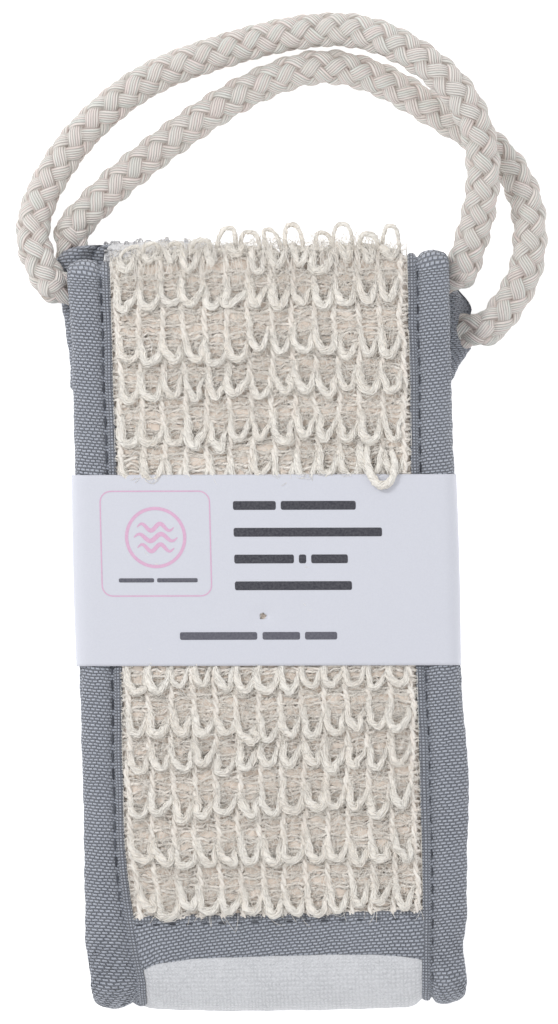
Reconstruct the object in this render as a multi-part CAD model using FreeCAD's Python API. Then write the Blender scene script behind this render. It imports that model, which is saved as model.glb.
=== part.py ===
"""A loofah back scrubber as it is sold: a long sisal and towelling strap with a rope handle at each end,
folded twice into four layers, lying flat on its back and held by a paper band.

X runs across the strap, +Y towards the rope handles, +Z up out of the front sisal face. The origin is the
middle of the underside of the folded strap. Millimetres.

Every sewn piece of the strap is one cross-section carried along the same folded line. The layers are
numbered from the top: layer 1 shows its sisal, layer 4 lies underneath. Layer 4 ends in the outer end, which
carries the rear handle, and layer 3 in the inner end, which carries the front handle.
"""

import FreeCAD
import Part
import math
import os

# The strap
STRAP_WIDTH = 100.4  # over both edge bindings
STRAP_THICKNESS = 4.8
FRONT_LENGTH = 199.1  # from the bottom fold to the top fold, outside
LAYER_PITCH = 5.2
STRAP_CLEARANCE = 1.2  # under layer 4, where the band passes
BOTTOM_Y = -100.6

# The edge bindings and the tapes across the sisal's ends
BINDING_WIDTH = 11.1
BINDING_WALL = 0.9
BINDING_LIP = 3.7  # the solid outer edge beyond the cloth
TAPE_START_Y = -74.8
TAPE_END_Y = -85.4
TAPE_THICKNESS = 0.8
STITCH_INSET = 8.8
STITCH_WIDTH = 0.6
STITCH_HEIGHT = 0.12

# The two ends of the strap
END_START_Y = 64.0
INNER_END_Y = 94.8
HEM_DEPTH = 8.8
HEM_WALL = 0.8

# The rope handles
ROPE_DIAMETER = 9.6
BALL_CLEARANCE = 0.3
NOTCH_DEPTH = 1.3
SEWN_ROPE_WIDTH = 11.0
SEWN_ROPE_THICKNESS = 2.4
TACK_LENGTH = 8.0
TACK_WIDTH = 1.4

# The paper band
BAND_Y = (-10.0, 40.0)
BAND_WIDTH = 102.0
BAND_HEIGHT = 22.4
PAPER = 0.3
GLUE = 0.1
BAND_CORNER = 3.0
BAND_OVERLAP = 12.0
PUNCH_X, PUNCH_Y, PUNCH_DIAMETER = -1.2, 3.0, 1.8

# Worked out from the above
HALF = STRAP_THICKNESS / 2
EDGE = STRAP_WIDTH / 2
WRAP = EDGE - BINDING_WIDTH  # where the bindings' inner edges lie
CLOTH_EDGE = EDGE - BINDING_LIP
CLOTH_HALF = HALF - BINDING_WALL
ROPE_RADIUS = ROPE_DIAMETER / 2
LAYER_Z = {n: STRAP_CLEARANCE + HALF + (4 - n) * LAYER_PITCH for n in (1, 2, 3, 4)}
TIGHT_FOLD = LAYER_PITCH / 2
WIDE_FOLD = 3 * LAYER_PITCH / 2
BOTTOM_CENTRE = (BOTTOM_Y + WIDE_FOLD + HALF, (LAYER_Z[1] + LAYER_Z[4]) / 2)
TOP_CENTRE = (BOTTOM_Y + FRONT_LENGTH - TIGHT_FOLD - HALF, (LAYER_Z[1] + LAYER_Z[2]) / 2)

# Rope routes, from the left ball end to the right one. Each loop lies on the floor between its ends, and the
# front one crosses over the rear one on the right.
FRONT_ROUTE = [
    (-54.2, 90.8, 11.2),
    (-59.4, 98.8, 10.4),
    (-60.6, 108.6, 7.2),
    (-56.0, 120.8, 4.9),
    (-45.0, 133.6, 4.9),
    (-28.5, 145.0, 4.9),
    (-8.5, 151.6, 5.0),
    (12.0, 156.0, 5.4),
    (29.5, 155.6, 9.0),
    (46.0, 146.0, 15.4),
    (57.0, 134.6, 17.6),
    (60.9, 118.6, 17.6),
    (58.8, 103.6, 14.2),
    (54.2, 90.8, 11.2),
]
REAR_ROUTE = [
    (-49.2, 105.5, 4.9),
    (-40.5, 113.2, 4.9),
    (-27.0, 123.6, 4.9),
    (-11.5, 134.6, 4.9),
    (3.5, 143.4, 4.9),
    (17.5, 146.8, 4.9),
    (32.0, 142.6, 4.9),
    (46.5, 133.2, 4.9),
    (62.5, 124.8, 4.9),
    (70.2, 113.5, 4.9),
    (71.4, 100.5, 4.9),
    (67.6, 88.3, 4.9),
    (60.2, 79.3, 4.9),
]

# The outer end, seen from above: the bound corners flare out round the rope ends sewn into them, and the
# right one hangs lower.
OUTER_END = [
    (-50.2, END_START_Y),
    (-54.2, 86.0),
    (-54.4, 97.6),
    (-52.4, 100.4),
    (-48.0, 101.4),
    (-22.0, 101.9),
    (8.0, 97.4),
    (44.0, 88.4),
    (52.0, 87.6),
    (55.4, 84.6),
    (55.8, 77.4),
    (53.6, 73.0),
    (50.2, END_START_Y),
]
OUTER_CLOTH = [
    (-46.5, END_START_Y),
    (-50.6, 86.0),
    (-50.8, 96.6),
    (-47.6, 98.2),
    (-22.0, 100.6),
    (8.0, 96.0),
    (43.6, 87.0),
    (50.6, 84.6),
    (52.6, 82.0),
    (52.6, 78.0),
    (50.2, 73.8),
    (46.5, END_START_Y),
]
OUTER_HEM_EDGE = [(-60.0, 92.6), (-22.0, 93.1), (8.0, 88.6), (60.0, 75.6)]
OUTER_WRAP_LEFT = [(-39.1, END_START_Y), (-41.0, 86.0), (-41.0, 104.0)]
OUTER_WRAP_RIGHT = [(39.1, END_START_Y), (43.0, 73.0), (44.4, 104.0)]


def folded_line():
    """The strap's middle line as spans in (y, z): straight ones and half-turn folds, from the outer end."""
    bottom_y, bottom_z = BOTTOM_CENTRE
    top_y, top_z = TOP_CENTRE
    return {
        "layer_4": ("line", (END_START_Y, LAYER_Z[4]), (bottom_y, LAYER_Z[4])),
        "wide_fold": ("fold", (bottom_y, LAYER_Z[4]), (bottom_y, bottom_z), -180),
        "layer_1": ("line", (bottom_y, LAYER_Z[1]), (top_y, LAYER_Z[1])),
        "top_fold": ("fold", (top_y, LAYER_Z[1]), (top_y, top_z), -180),
        "layer_2": ("line", (top_y, LAYER_Z[2]), (bottom_y, LAYER_Z[2])),
        "inner_fold": ("fold", (bottom_y, LAYER_Z[2]), (bottom_y, bottom_z), 180),
        "layer_3": ("line", (bottom_y, LAYER_Z[3]), (INNER_END_Y, LAYER_Z[3])),
    }


SPANS = folded_line()
ALL_SPANS = list(SPANS)


def outline_face(points):
    """A flat face from (x, height) points. A point given as ("arc", middle, end) rounds the way to its end."""
    edges = []
    here = points[0]
    for point in points[1:] + points[:1]:
        if point[0] == "arc":
            middle, end = point[1:]
            edges.append(Part.Arc(flat(here), flat(middle), flat(end)).toShape())
            here = end
        else:
            edges.append(Part.LineSegment(flat(here), flat(point)).toShape())
            here = point
    return Part.Face(Part.Wire(edges))


def flat(point):
    return FreeCAD.Vector(point[0], point[1], 0)


def rectangle(x_low, x_high, low, high):
    """A cross-section between two heights above the strap's middle, where the sisal's side is up."""
    return outline_face([(x_low, low), (x_high, low), (x_high, high), (x_low, high)])


def placed(section, start, heading):
    """The section standing across the folded line at start, its height along the sisal's side."""
    copy = section.copy()
    turn = FreeCAD.Rotation(FreeCAD.Vector(1, 0, 0), 90 if heading > 0 else -90)
    copy.Placement = FreeCAD.Placement(FreeCAD.Vector(0, start[0], start[1]), turn)
    return copy


def along(section, spans, trims=None):
    """The section carried along the named spans. trims gives a straight span other ends in y."""
    pieces = []
    heading = {"layer_4": -1, "wide_fold": -1, "layer_1": 1, "top_fold": 1}
    for name in spans:
        span = SPANS[name]
        if span[0] == "line":
            (y_start, z), (y_end, _) = span[1:]
            y_start, y_end = (trims or {}).get(name, (y_start, y_end))
            face = placed(section, (y_start, z), 1 if y_end > y_start else -1)
            pieces.append(face.extrude(FreeCAD.Vector(0, y_end - y_start, 0)))
        else:
            start, centre, turn = span[1:]
            face = placed(section, start, heading.get(name, -1))
            middle = FreeCAD.Vector(0, *centre)
            pieces.append(face.revolve(middle, FreeCAD.Vector(1, 0, 0), turn))
    return joined(pieces)


def joined(pieces):
    whole = pieces[0]
    if len(pieces) > 1:
        whole = whole.multiFuse(pieces[1:]).removeSplitter()
    return whole


def plate(points, z_low, z_high):
    """An outline in plan, made solid between two heights."""
    face = outline_face(points)
    face.translate(FreeCAD.Vector(0, 0, z_low))
    return face.extrude(FreeCAD.Vector(0, 0, z_high - z_low))


def block(x, y, z):
    """A box from (low, high) pairs."""
    size = [high - low for low, high in (x, y, z)]
    return Part.makeBox(*size, FreeCAD.Vector(x[0], y[0], z[0]))


def ball(centre, radius):
    return Part.makeSphere(radius, FreeCAD.Vector(*centre))


# The rope handles ------------------------------------------------------------------------------------------


def rope(name, route):
    """A round rope along the route, ending in a ball at each end on the line that the loop swings about."""
    points = [FreeCAD.Vector(*p) for p in route]
    edges = []
    here = points[0]
    radii = []
    for before, corner, after in zip(points, points[1:], points[2:]):
        into, out = corner - before, after - corner
        setback = 0.45 * min(into.Length, out.Length)
        half_turn = into.getAngle(out) / 2
        radii.append(setback / math.tan(half_turn))
        into.normalize()
        out.normalize()
        start, end = corner - into * setback, corner + out * setback
        sideways = (out - into).normalize()
        bulge = radii[-1] * (1 / math.cos(half_turn) - 1)
        edges.append(Part.LineSegment(here, start).toShape())
        edges.append(Part.Arc(start, corner + sideways * bulge, end).toShape())
        here = end
    edges.append(Part.LineSegment(here, points[-1]).toShape())
    path = Part.Wire(edges)
    ring = Part.Wire(Part.Circle(points[0], points[1] - points[0], ROPE_RADIUS).toShape())
    tube = path.makePipeShell([ring], True, False)
    section = math.pi * ROPE_RADIUS**2
    print(name, "radii", [round(r, 1) for r in radii], "length", round(path.Length, 1))
    print(name, "volume", round(tube.Volume), "expected", round(section * path.Length))
    return joined([tube, ball(route[0], ROPE_RADIUS), ball(route[-1], ROPE_RADIUS)])


def sewn_rope(x, y, z_middle, swing_end):
    """The pressed-flat stretch of rope sewn between the strap's plies, hollowed for the loop's ball end."""
    half = SEWN_ROPE_THICKNESS / 2
    flattened = block(x, y, (z_middle - half, z_middle + half))
    return flattened.cut(ball(swing_end, ROPE_RADIUS + BALL_CLEARANCE))


def swing_rooms():
    """The room cut out of the strap for each loop's ball end: at its sides for the front rope."""
    reach = ROPE_RADIUS + 2 * BALL_CLEARANCE
    rooms = [ball(REAR_ROUTE[0], reach), ball(REAR_ROUTE[-1], reach)]
    for side, end in ((-1, FRONT_ROUTE[0]), (1, FRONT_ROUTE[-1])):
        inner = FreeCAD.Vector(side * (EDGE - NOTCH_DEPTH), end[1], end[2])
        rooms.append(Part.makeCylinder(reach, ROPE_DIAMETER, inner, FreeCAD.Vector(side, 0, 0)))
    return rooms


def sewn_ropes():
    """The four sewn-in rope ends by name."""
    half = SEWN_ROPE_WIDTH / 2
    left_y, right_y = FRONT_ROUTE[0][1], FRONT_ROUTE[-1][1]
    rear_left, rear_right = REAR_ROUTE[0], REAR_ROUTE[-1]
    reach = EDGE + 0.9
    return {
        "front_rope_left_end": sewn_rope(
            (-reach, -36.0), (left_y - half, left_y + 2.0), LAYER_Z[3], FRONT_ROUTE[0]
        ),
        "front_rope_right_end": sewn_rope(
            (36.0, reach), (right_y - half, right_y + 2.0), LAYER_Z[3], FRONT_ROUTE[-1]
        ),
        "rear_rope_left_end": sewn_rope(
            (rear_left[0] - 2.6, rear_left[0] + 7.4), (84.0, 102.2), LAYER_Z[4], rear_left
        ),
        "rear_rope_right_end": sewn_rope((38.0, 56.5), (74.4, 83.2), LAYER_Z[4], rear_right),
    }


def bar_tacks(places, z_middle):
    """Dense thread bars through the strap and the sewn-in rope, at (x, y) places, as separate solids."""
    reach = HALF + STITCH_HEIGHT
    z = (z_middle - reach, z_middle + reach)
    bars = []
    for x, y in places:
        half_x, half_y = TACK_WIDTH / 2, TACK_LENGTH / 2
        bars.append(block((x - half_x, x + half_x), (y - half_y, y + half_y), z))
    return Part.Compound(bars)


# The strap -------------------------------------------------------------------------------------------------


def ply_section(low, high):
    """A ply's cross-section from its low face to its high one, stepped in at the bindings on one side only."""
    grip_low, grip_high = max(low, -CLOTH_HALF), min(high, CLOTH_HALF)
    points = [(-CLOTH_EDGE, grip_low)]
    if grip_low != low:
        points += [(-WRAP, grip_low), (-WRAP, low), (WRAP, low), (WRAP, grip_low)]
    points += [(CLOTH_EDGE, grip_low), (CLOTH_EDGE, grip_high)]
    if grip_high != high:
        points += [(WRAP, grip_high), (WRAP, high), (-WRAP, high), (-WRAP, grip_high)]
    return outline_face(points + [(-CLOTH_EDGE, grip_high)])


def binding_section(side):
    """Tape folded round the strap's edge: a rounded outer lip and a flange on each face."""
    lip = EDGE - HALF
    points = [
        (side * WRAP, HALF),
        (side * lip, HALF),
        ("arc", (side * EDGE, 0), (side * lip, -HALF)),
        (side * WRAP, -HALF),
        (side * WRAP, -CLOTH_HALF),
        (side * CLOTH_EDGE, -CLOTH_HALF),
        (side * CLOTH_EDGE, CLOTH_HALF),
        (side * WRAP, CLOTH_HALF),
    ]
    return outline_face(points)


def outer_end_pieces():
    """The outer end, cut into its bindings, its hem and its two plies."""
    z_low, z_high = LAYER_Z[4] - HALF, LAYER_Z[4] + HALF
    whole = plate(OUTER_END, z_low, z_high)
    cloth = plate(OUTER_CLOTH, LAYER_Z[4] - CLOTH_HALF, LAYER_Z[4] + CLOTH_HALF)
    left = plate(OUTER_WRAP_LEFT + [(-70, 104.0), (-70, END_START_Y)], -1, 30)
    right = plate(OUTER_WRAP_RIGHT + [(70, 104.0), (70, END_START_Y)], -1, 30)
    hem_zone = plate(OUTER_HEM_EDGE + [(60, 110), (-60, 110)], -1, 30)
    middle = whole.cut(left).cut(right)
    hem = middle.common(hem_zone)
    floor_pad = hem.copy()
    floor_pad.translate(FreeCAD.Vector(0, 0, -z_low))
    hem = hem.fuse(floor_pad).removeSplitter().cut(cloth)
    plies = middle.cut(hem_zone).fuse(cloth).removeSplitter()
    lower = block((-80, 80), (0, 120), (-1, LAYER_Z[4]))
    return {
        "left_binding": whole.common(left).cut(cloth),
        "right_binding": whole.common(right).cut(cloth),
        "outer_end_hem": hem,
        "outer_end_cloth": plies.common(lower),
        "terry_backing": plies.cut(lower),
    }


def inner_end_hem():
    """White cloth folded round the inner end between the bindings."""
    z = LAYER_Z[3]
    y_low = INNER_END_Y - HEM_DEPTH
    outside = block((-WRAP, WRAP), (y_low, INNER_END_Y), (z - HALF, z + HALF))
    gripped = HALF - HEM_WALL
    inside = block((-WRAP, WRAP), (y_low, INNER_END_Y - HEM_WALL), (z - gripped, z + gripped))
    return outside.cut(inside)


def cross_tape(layer):
    """The tape that covers the join between the sisal and the white cloth."""
    low, high = HALF - TAPE_THICKNESS, HALF
    ends = (TAPE_END_Y, TAPE_START_Y) if layer == "layer_1" else (TAPE_START_Y, TAPE_END_Y)
    return along(rectangle(-WRAP, WRAP, low, high), [layer], {layer: ends})


def stitches(x, low, spans, trims=None):
    """A sewing thread lying on one face of the strap, as one low ridge."""
    half = STITCH_WIDTH / 2
    return along(rectangle(x - half, x + half, low, low + STITCH_HEIGHT), spans, trims)


def seam(x):
    """Both threads of a binding's seam, kept clear of the flared outer end."""
    ends = {"layer_3": (BOTTOM_CENTRE[0], INNER_END_Y - HEM_DEPTH - 6)}
    top = stitches(x, HALF, ALL_SPANS, ends)
    bottom = stitches(x, -HALF - STITCH_HEIGHT, ALL_SPANS, ends)
    return Part.Compound([top, bottom])


def tape_seam(layer):
    """The two rows of thread across a cross tape."""
    z = LAYER_Z[int(layer[-1])]
    side = 1 if layer == "layer_1" else -1
    rows = []
    for y in (TAPE_START_Y - 1.4, TAPE_END_Y + 1.4):
        low, high = sorted((z + side * HALF, z + side * (HALF + STITCH_HEIGHT)))
        half = STITCH_WIDTH / 2
        rows.append(block((-WRAP + 0.4, WRAP - 0.4), (y - half, y + half), (low, high)))
    return Part.Compound(rows)


def strap():
    """Every sewn piece of the strap by node name."""
    tape_middle = (TAPE_START_Y + TAPE_END_Y) / 2
    bottom_y, top_y = BOTTOM_CENTRE[0], TOP_CENTRE[0]
    sisal = ply_section(0, HALF)
    backing = ply_section(-HALF, 0)
    under_tape = rectangle(-CLOTH_EDGE, CLOTH_EDGE, 0, CLOTH_HALF)
    between = rectangle(-WRAP, WRAP, CLOTH_HALF, HALF - TAPE_THICKNESS)
    under_tape = under_tape.fuse(between).removeSplitter()
    end = outer_end_pieces()
    pieces = {}
    pieces["sisal_pad"] = joined(
        [
            along(
                sisal,
                ["layer_1", "top_fold", "layer_2"],
                {"layer_1": (TAPE_START_Y, top_y), "layer_2": (top_y, TAPE_START_Y)},
            ),
            along(under_tape, ["layer_1"], {"layer_1": (tape_middle, TAPE_START_Y)}),
            along(under_tape, ["layer_2"], {"layer_2": (TAPE_START_Y, tape_middle)}),
        ]
    )
    pieces["outer_end_cloth"] = joined(
        [
            along(sisal, ["layer_4", "wide_fold", "layer_1"], {"layer_1": (bottom_y, TAPE_END_Y)}),
            along(under_tape, ["layer_1"], {"layer_1": (TAPE_END_Y, tape_middle)}),
            end["outer_end_cloth"],
        ]
    )
    plain_end = INNER_END_Y - HEM_DEPTH
    cloth_end = INNER_END_Y - HEM_WALL
    hemmed = HALF - HEM_WALL
    pieces["inner_end_cloth"] = joined(
        [
            along(
                sisal,
                ["layer_2", "inner_fold", "layer_3"],
                {"layer_2": (TAPE_END_Y, bottom_y), "layer_3": (bottom_y, plain_end)},
            ),
            along(under_tape, ["layer_2"], {"layer_2": (tape_middle, TAPE_END_Y)}),
            along(hemmed_section(0, hemmed), ["layer_3"], {"layer_3": (plain_end, cloth_end)}),
        ]
    )
    pieces["terry_backing"] = joined(
        [
            along(backing, ALL_SPANS, {"layer_3": (bottom_y, plain_end)}),
            along(hemmed_section(-hemmed, 0), ["layer_3"], {"layer_3": (plain_end, cloth_end)}),
            end["terry_backing"],
        ]
    )
    for side, node in ((-1, "left_binding"), (1, "right_binding")):
        pieces[node] = joined([along(binding_section(side), ALL_SPANS), end[node]])
    pieces["front_cross_tape"] = cross_tape("layer_1")
    pieces["inner_cross_tape"] = cross_tape("layer_2")
    pieces["outer_end_hem"] = end["outer_end_hem"]
    pieces["inner_end_hem"] = inner_end_hem()
    pieces["left_binding_seam"] = seam(-EDGE + STITCH_INSET)
    pieces["right_binding_seam"] = seam(EDGE - STITCH_INSET)
    pieces["front_tape_seam"] = tape_seam("layer_1")
    pieces["inner_tape_seam"] = tape_seam("layer_2")
    return pieces


def hemmed_section(low, high):
    """A ply's cross-section under the inner hem."""
    grip_low, grip_high = max(low, -CLOTH_HALF), min(high, CLOTH_HALF)
    outer = rectangle(-CLOTH_EDGE, CLOTH_EDGE, grip_low, grip_high)
    if (low, high) == (grip_low, grip_high):
        return outer
    return outer.fuse(rectangle(-WRAP, WRAP, low, high)).removeSplitter()


# The paper band --------------------------------------------------------------------------------------------


def rounded_ring(z_low):
    """A closed paper wall with rounded corners, its underside at z_low."""
    solids = []
    for inset in (0, PAPER):
        x = BAND_WIDTH / 2 - inset
        low, high = z_low + inset, BAND_HEIGHT - inset
        radius = BAND_CORNER - inset
        box = block((-x, x), BAND_Y, (low, high))
        edges = [e for e in box.Edges if abs(e.Vertexes[0].Y - e.Vertexes[-1].Y) > 1]
        solids.append(box.makeFillet(radius, edges))
    return solids[0].cut(solids[1])


def paper_band():
    """A strip of printed paper round the strap, its ends overlapping underneath, with one punched hole."""
    level = PAPER + GLUE
    half = BAND_OVERLAP / 2
    beyond = BAND_WIDTH
    lower_z = (-1, BAND_HEIGHT / 2)
    outer_wall = rounded_ring(0).cut(block((half, beyond), BAND_Y, lower_z))
    inner_wall = rounded_ring(level).common(block((-half, beyond), BAND_Y, lower_z))
    band = outer_wall.fuse(inner_wall).removeSplitter()
    top = FreeCAD.Vector(PUNCH_X, PUNCH_Y, BAND_HEIGHT - 2)
    return band.cut(Part.makeCylinder(PUNCH_DIAMETER / 2, 4, top))


def band_glue():
    half = BAND_OVERLAP / 2
    return block((-half + 1, half - 1), (BAND_Y[0] + 2, BAND_Y[1] - 2), (PAPER, PAPER + GLUE))


# Everything together ---------------------------------------------------------------------------------------


def main():
    os.makedirs("parts", exist_ok=True)
    pieces = strap()
    rope_ends = sewn_ropes()
    front_tacks = bar_tacks([(-43.6, 90.0), (43.6, 90.0)], LAYER_Z[3])
    rear_tacks = bar_tacks([(-45.5, 91.0), (47.6, 79.0)], LAYER_Z[4])
    for node in pieces:
        for solid in [*rope_ends.values(), front_tacks, rear_tacks, *swing_rooms()]:
            if pieces[node].BoundBox.intersect(solid.BoundBox):
                pieces[node] = pieces[node].cut(solid)
    for node, tacks in (("front", front_tacks), ("rear", rear_tacks)):
        for side in ("left", "right"):
            end = f"{node}_rope_{side}_end"
            pieces[end] = rope_ends[end].cut(tacks)
    pieces["front_rope_bar_tacks"] = front_tacks
    pieces["rear_rope_bar_tacks"] = rear_tacks
    pieces["front_handle_rope"] = rope("front_handle_rope", FRONT_ROUTE)
    pieces["rear_handle_rope"] = rope("rear_handle_rope", REAR_ROUTE)
    pieces["paper_band"] = paper_band()
    pieces["band_glue"] = band_glue()
    for node, shape in pieces.items():
        print(f"{node:22} solids {len(shape.Solids)} valid {shape.isValid()} volume {shape.Volume:.0f}")
        shape.exportStep(f"parts/{node}.step")


main()
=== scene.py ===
"""The looks of a folded loofah back scrubber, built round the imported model.

Lengths are in millimetres and become metres where a mesh is made. The strap is one long strip folded into
four layers. A point of it is given by s, the way along the folded line from the start of layer 4, by x across
it, and by h, the height above its middle on the sisal's side.
"""

import math

import bmesh
import bpy
import numpy as np
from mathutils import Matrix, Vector
from mathutils.bvhtree import BVHTree


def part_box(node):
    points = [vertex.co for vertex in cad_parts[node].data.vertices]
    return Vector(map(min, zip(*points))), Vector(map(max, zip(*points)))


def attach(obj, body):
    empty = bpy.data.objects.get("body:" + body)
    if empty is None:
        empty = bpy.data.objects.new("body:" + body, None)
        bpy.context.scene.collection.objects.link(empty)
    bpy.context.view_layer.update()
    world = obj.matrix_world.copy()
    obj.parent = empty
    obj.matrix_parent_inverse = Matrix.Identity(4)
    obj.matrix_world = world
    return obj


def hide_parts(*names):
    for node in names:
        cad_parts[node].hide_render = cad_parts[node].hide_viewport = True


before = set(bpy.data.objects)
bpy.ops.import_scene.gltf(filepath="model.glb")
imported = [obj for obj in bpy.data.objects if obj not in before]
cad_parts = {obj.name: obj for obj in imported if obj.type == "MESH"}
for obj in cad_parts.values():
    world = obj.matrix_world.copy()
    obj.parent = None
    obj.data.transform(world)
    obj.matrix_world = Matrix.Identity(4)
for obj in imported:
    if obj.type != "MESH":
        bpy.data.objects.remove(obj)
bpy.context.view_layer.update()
RNG = np.random.default_rng(847)
MM = 0.001
YARN_WAVES = math.pi / 0.00062  # one ridge for each 0.62 mm across a rope's strand


def low_high(node):
    """A CAD node's lowest and highest corners in millimetres."""
    low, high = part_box(node)
    return np.array(low) / MM, np.array(high) / MM


# Dimensions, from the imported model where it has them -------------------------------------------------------

_, SISAL_HIGH = low_high("sisal_pad")
TAPE_LOW, TAPE_HIGH = low_high("front_cross_tape")
CLOTH_LOW, _ = low_high("outer_end_cloth")
_, HEM_HIGH = low_high("inner_end_hem")
BAND_LOW, BAND_HIGH = low_high("paper_band")
HALF = 2.4  # half the strap's thickness
EDGE = 50.2  # half its width over the bindings
WRAP = TAPE_HIGH[0]  # where the bindings' inner edges lie
TOP_Z = SISAL_HIGH[2]
LAYER_1_Z = TOP_Z - HALF
PITCH = 5.2  # from layer to layer
LAYER_4_Z = LAYER_1_Z - 3 * PITCH
LAYER_2_Z = LAYER_1_Z - PITCH
LAYER_3_Z = LAYER_1_Z - 2 * PITCH
TIGHT = PITCH / 2
WIDE = 1.5 * PITCH
BOTTOM_Y = CLOTH_LOW[1] + WIDE + HALF
TOP_Y = SISAL_HIGH[1] - TIGHT - HALF
START_Y = 64.0  # where layer 4 starts to flare into the outer end
INNER_Y = HEM_HIGH[1]
FLARE = 37.0  # the outer end's nominal length beyond START_Y

# The folded line: its spans' lengths and where each starts
LENGTHS = [
    START_Y - BOTTOM_Y,
    math.pi * WIDE,
    TOP_Y - BOTTOM_Y,
    math.pi * TIGHT,
    TOP_Y - BOTTOM_Y,
    math.pi * TIGHT,
    INNER_Y - BOTTOM_Y,
]
STARTS = np.concatenate([[0.0], np.cumsum(LENGTHS)])
ON_LAYER_1 = STARTS[2] - BOTTOM_Y  # s on layer 1 is this plus y
CREST = STARTS[3] + LENGTHS[3] / 2
TAPE_S = (ON_LAYER_1 + TAPE_LOW[1], ON_LAYER_1 + TAPE_HIGH[1])
INNER_TAPE_S = (STARTS[4] + TOP_Y - TAPE_HIGH[1], STARTS[4] + TOP_Y - TAPE_LOW[1])

# How the limp folds have settled across the strap: x, and how far in from the nominal fold each lies there
BOTTOM_RISE = (
    [-52, -46, -41, -38, -35, -31, -18, 0, 25, 34, 36, 38.5, 42, 52],
    [0.9, 1.0, 2.0, 2.3, 1.5, 0.9, 0.1, -0.3, -0.4, -0.2, 0.4, 1.6, 0.7, 0.4],
)
TOP_DROP = (
    [-52, -41, -38, -34, -31, -28, -20, 22, 29, 34, 37, 40, 52],
    [1.2, 1.3, 2.5, 2.1, 1.0, 0.3, -0.3, -0.3, 0.2, 0.9, 1.6, 1.2, 0.8],
)


# The outer end's slanting hem: x, and its y there
HEM_LINE = ([-54, -50, -41, -22, 8, 44, 52, 56], [99.8, 101.2, 101.5, 101.9, 97.4, 88.6, 87.6, 84.0])


def outer_end_y(x):
    """Where the outer end's slanting hem lies at x."""
    return np.interp(x, *HEM_LINE)


def on_strap(s, x, h):
    """Points of the strap and its unit normals there, from s, x and h in millimetres."""
    s, x, h = np.broadcast_arrays(*(np.asarray(a, float) for a in (s, x, h)))
    y, z = np.zeros(s.shape), np.zeros(s.shape)
    normal_y, normal_z = np.zeros(s.shape), np.zeros(s.shape)
    span = np.clip(np.searchsorted(STARTS, s, side="right") - 1, 0, 6)
    t = s - STARTS[span]
    lines = {
        0: (START_Y, LAYER_4_Z, -1),
        2: (BOTTOM_Y, LAYER_1_Z, 1),
        4: (TOP_Y, LAYER_2_Z, -1),
        6: (BOTTOM_Y, LAYER_3_Z, 1),
    }
    for number, (y_start, level, way) in lines.items():
        on = span == number
        y[on] = y_start + way * t[on]
        z[on] = level + way * h[on]
        normal_z[on] = way
    folds = {
        1: (BOTTOM_Y, LAYER_1_Z - WIDE, WIDE, -90, -1, 1),
        3: (TOP_Y, LAYER_1_Z - TIGHT, TIGHT, 90, -1, 1),
        5: (BOTTOM_Y, LAYER_2_Z - TIGHT, TIGHT, 90, 1, -1),
    }
    for number, (cy, cz, radius, first, way, side) in folds.items():
        on = span == number
        angle = math.radians(first) + way * t[on] / radius
        y[on] = cy + (radius + side * h[on]) * np.cos(angle)
        z[on] = cz + (radius + side * h[on]) * np.sin(angle)
        normal_y[on], normal_z[on] = side * np.cos(angle), side * np.sin(angle)
    flared = s < 0
    reach = outer_end_y(x[flared]) - START_Y
    y[flared] = START_Y + reach * (-s[flared] / FLARE)
    y += np.clip((-90 - y) / 9, 0, 1) * np.interp(x, *BOTTOM_RISE)
    y -= np.clip((y - 90) / 7, 0, 1) * np.interp(x, *TOP_DROP) * ((span >= 2) & (span <= 4))
    normals = np.stack([np.zeros(s.shape), normal_y, normal_z], -1)
    return np.stack([x, y, z], -1), normals


# Mesh making -----------------------------------------------------------------------------------------------


def add_mesh(name, points, quads, uv=None, material=None, shades=None):
    """A smooth-shaded object from points in millimetres and quads, with uv and a per-point shade if given."""
    mesh = bpy.data.meshes.new(name)
    points = np.asarray(points, np.float32).reshape(-1, 3) * MM
    quads = np.asarray(quads, np.int32).reshape(-1, 4)
    mesh.vertices.add(len(points))
    mesh.vertices.foreach_set("co", points.ravel())
    mesh.loops.add(quads.size)
    mesh.loops.foreach_set("vertex_index", quads.ravel())
    mesh.polygons.add(len(quads))
    mesh.polygons.foreach_set("loop_start", np.arange(0, quads.size, 4, dtype=np.int32))
    mesh.polygons.foreach_set("use_smooth", np.ones(len(quads), bool))
    if uv is not None:
        layer = mesh.uv_layers.new(name="UVMap")
        layer.data.foreach_set("uv", np.asarray(uv, np.float32).reshape(-1, 2)[quads.ravel()].ravel())
    if shades is not None:
        attribute = mesh.attributes.new("shade", "FLOAT", "POINT")
        attribute.data.foreach_set("value", np.asarray(shades, np.float32).ravel())
    mesh.update(calc_edges=True)
    mesh.validate()
    thing = bpy.data.objects.new(name, mesh)
    bpy.context.scene.collection.objects.link(thing)
    if material:
        mesh.materials.append(material)
    return thing


def grid_quads(rows, columns, closed=False):
    """Quads of a rows by columns grid of points, its columns closed into a ring if asked."""
    index = np.arange(rows * columns).reshape(rows, columns)
    if closed:
        index = np.concatenate([index, index[:, :1]], 1)
    corners = (index[:-1, :-1], index[:-1, 1:], index[1:, 1:], index[1:, :-1])
    return np.stack(corners, -1).reshape(-1, 4)


def unit(vectors):
    """The vectors at unit length."""
    return vectors / (np.linalg.norm(vectors, axis=-1, keepdims=True) + 1e-12)


def distances(line):
    """How far along its line each point lies, for a line or an array of lines."""
    steps = np.linalg.norm(np.diff(line, axis=-2), axis=-1)
    return np.concatenate([np.zeros((*steps.shape[:-1], 1)), np.cumsum(steps, -1)], -1)


def frames(lines, up):
    """Unit vectors to the side of the lines and over them, nearest to up."""
    tangent = unit(np.gradient(lines, axis=1))
    side = unit(np.cross(tangent, up))
    return side, np.cross(side, tangent)


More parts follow.
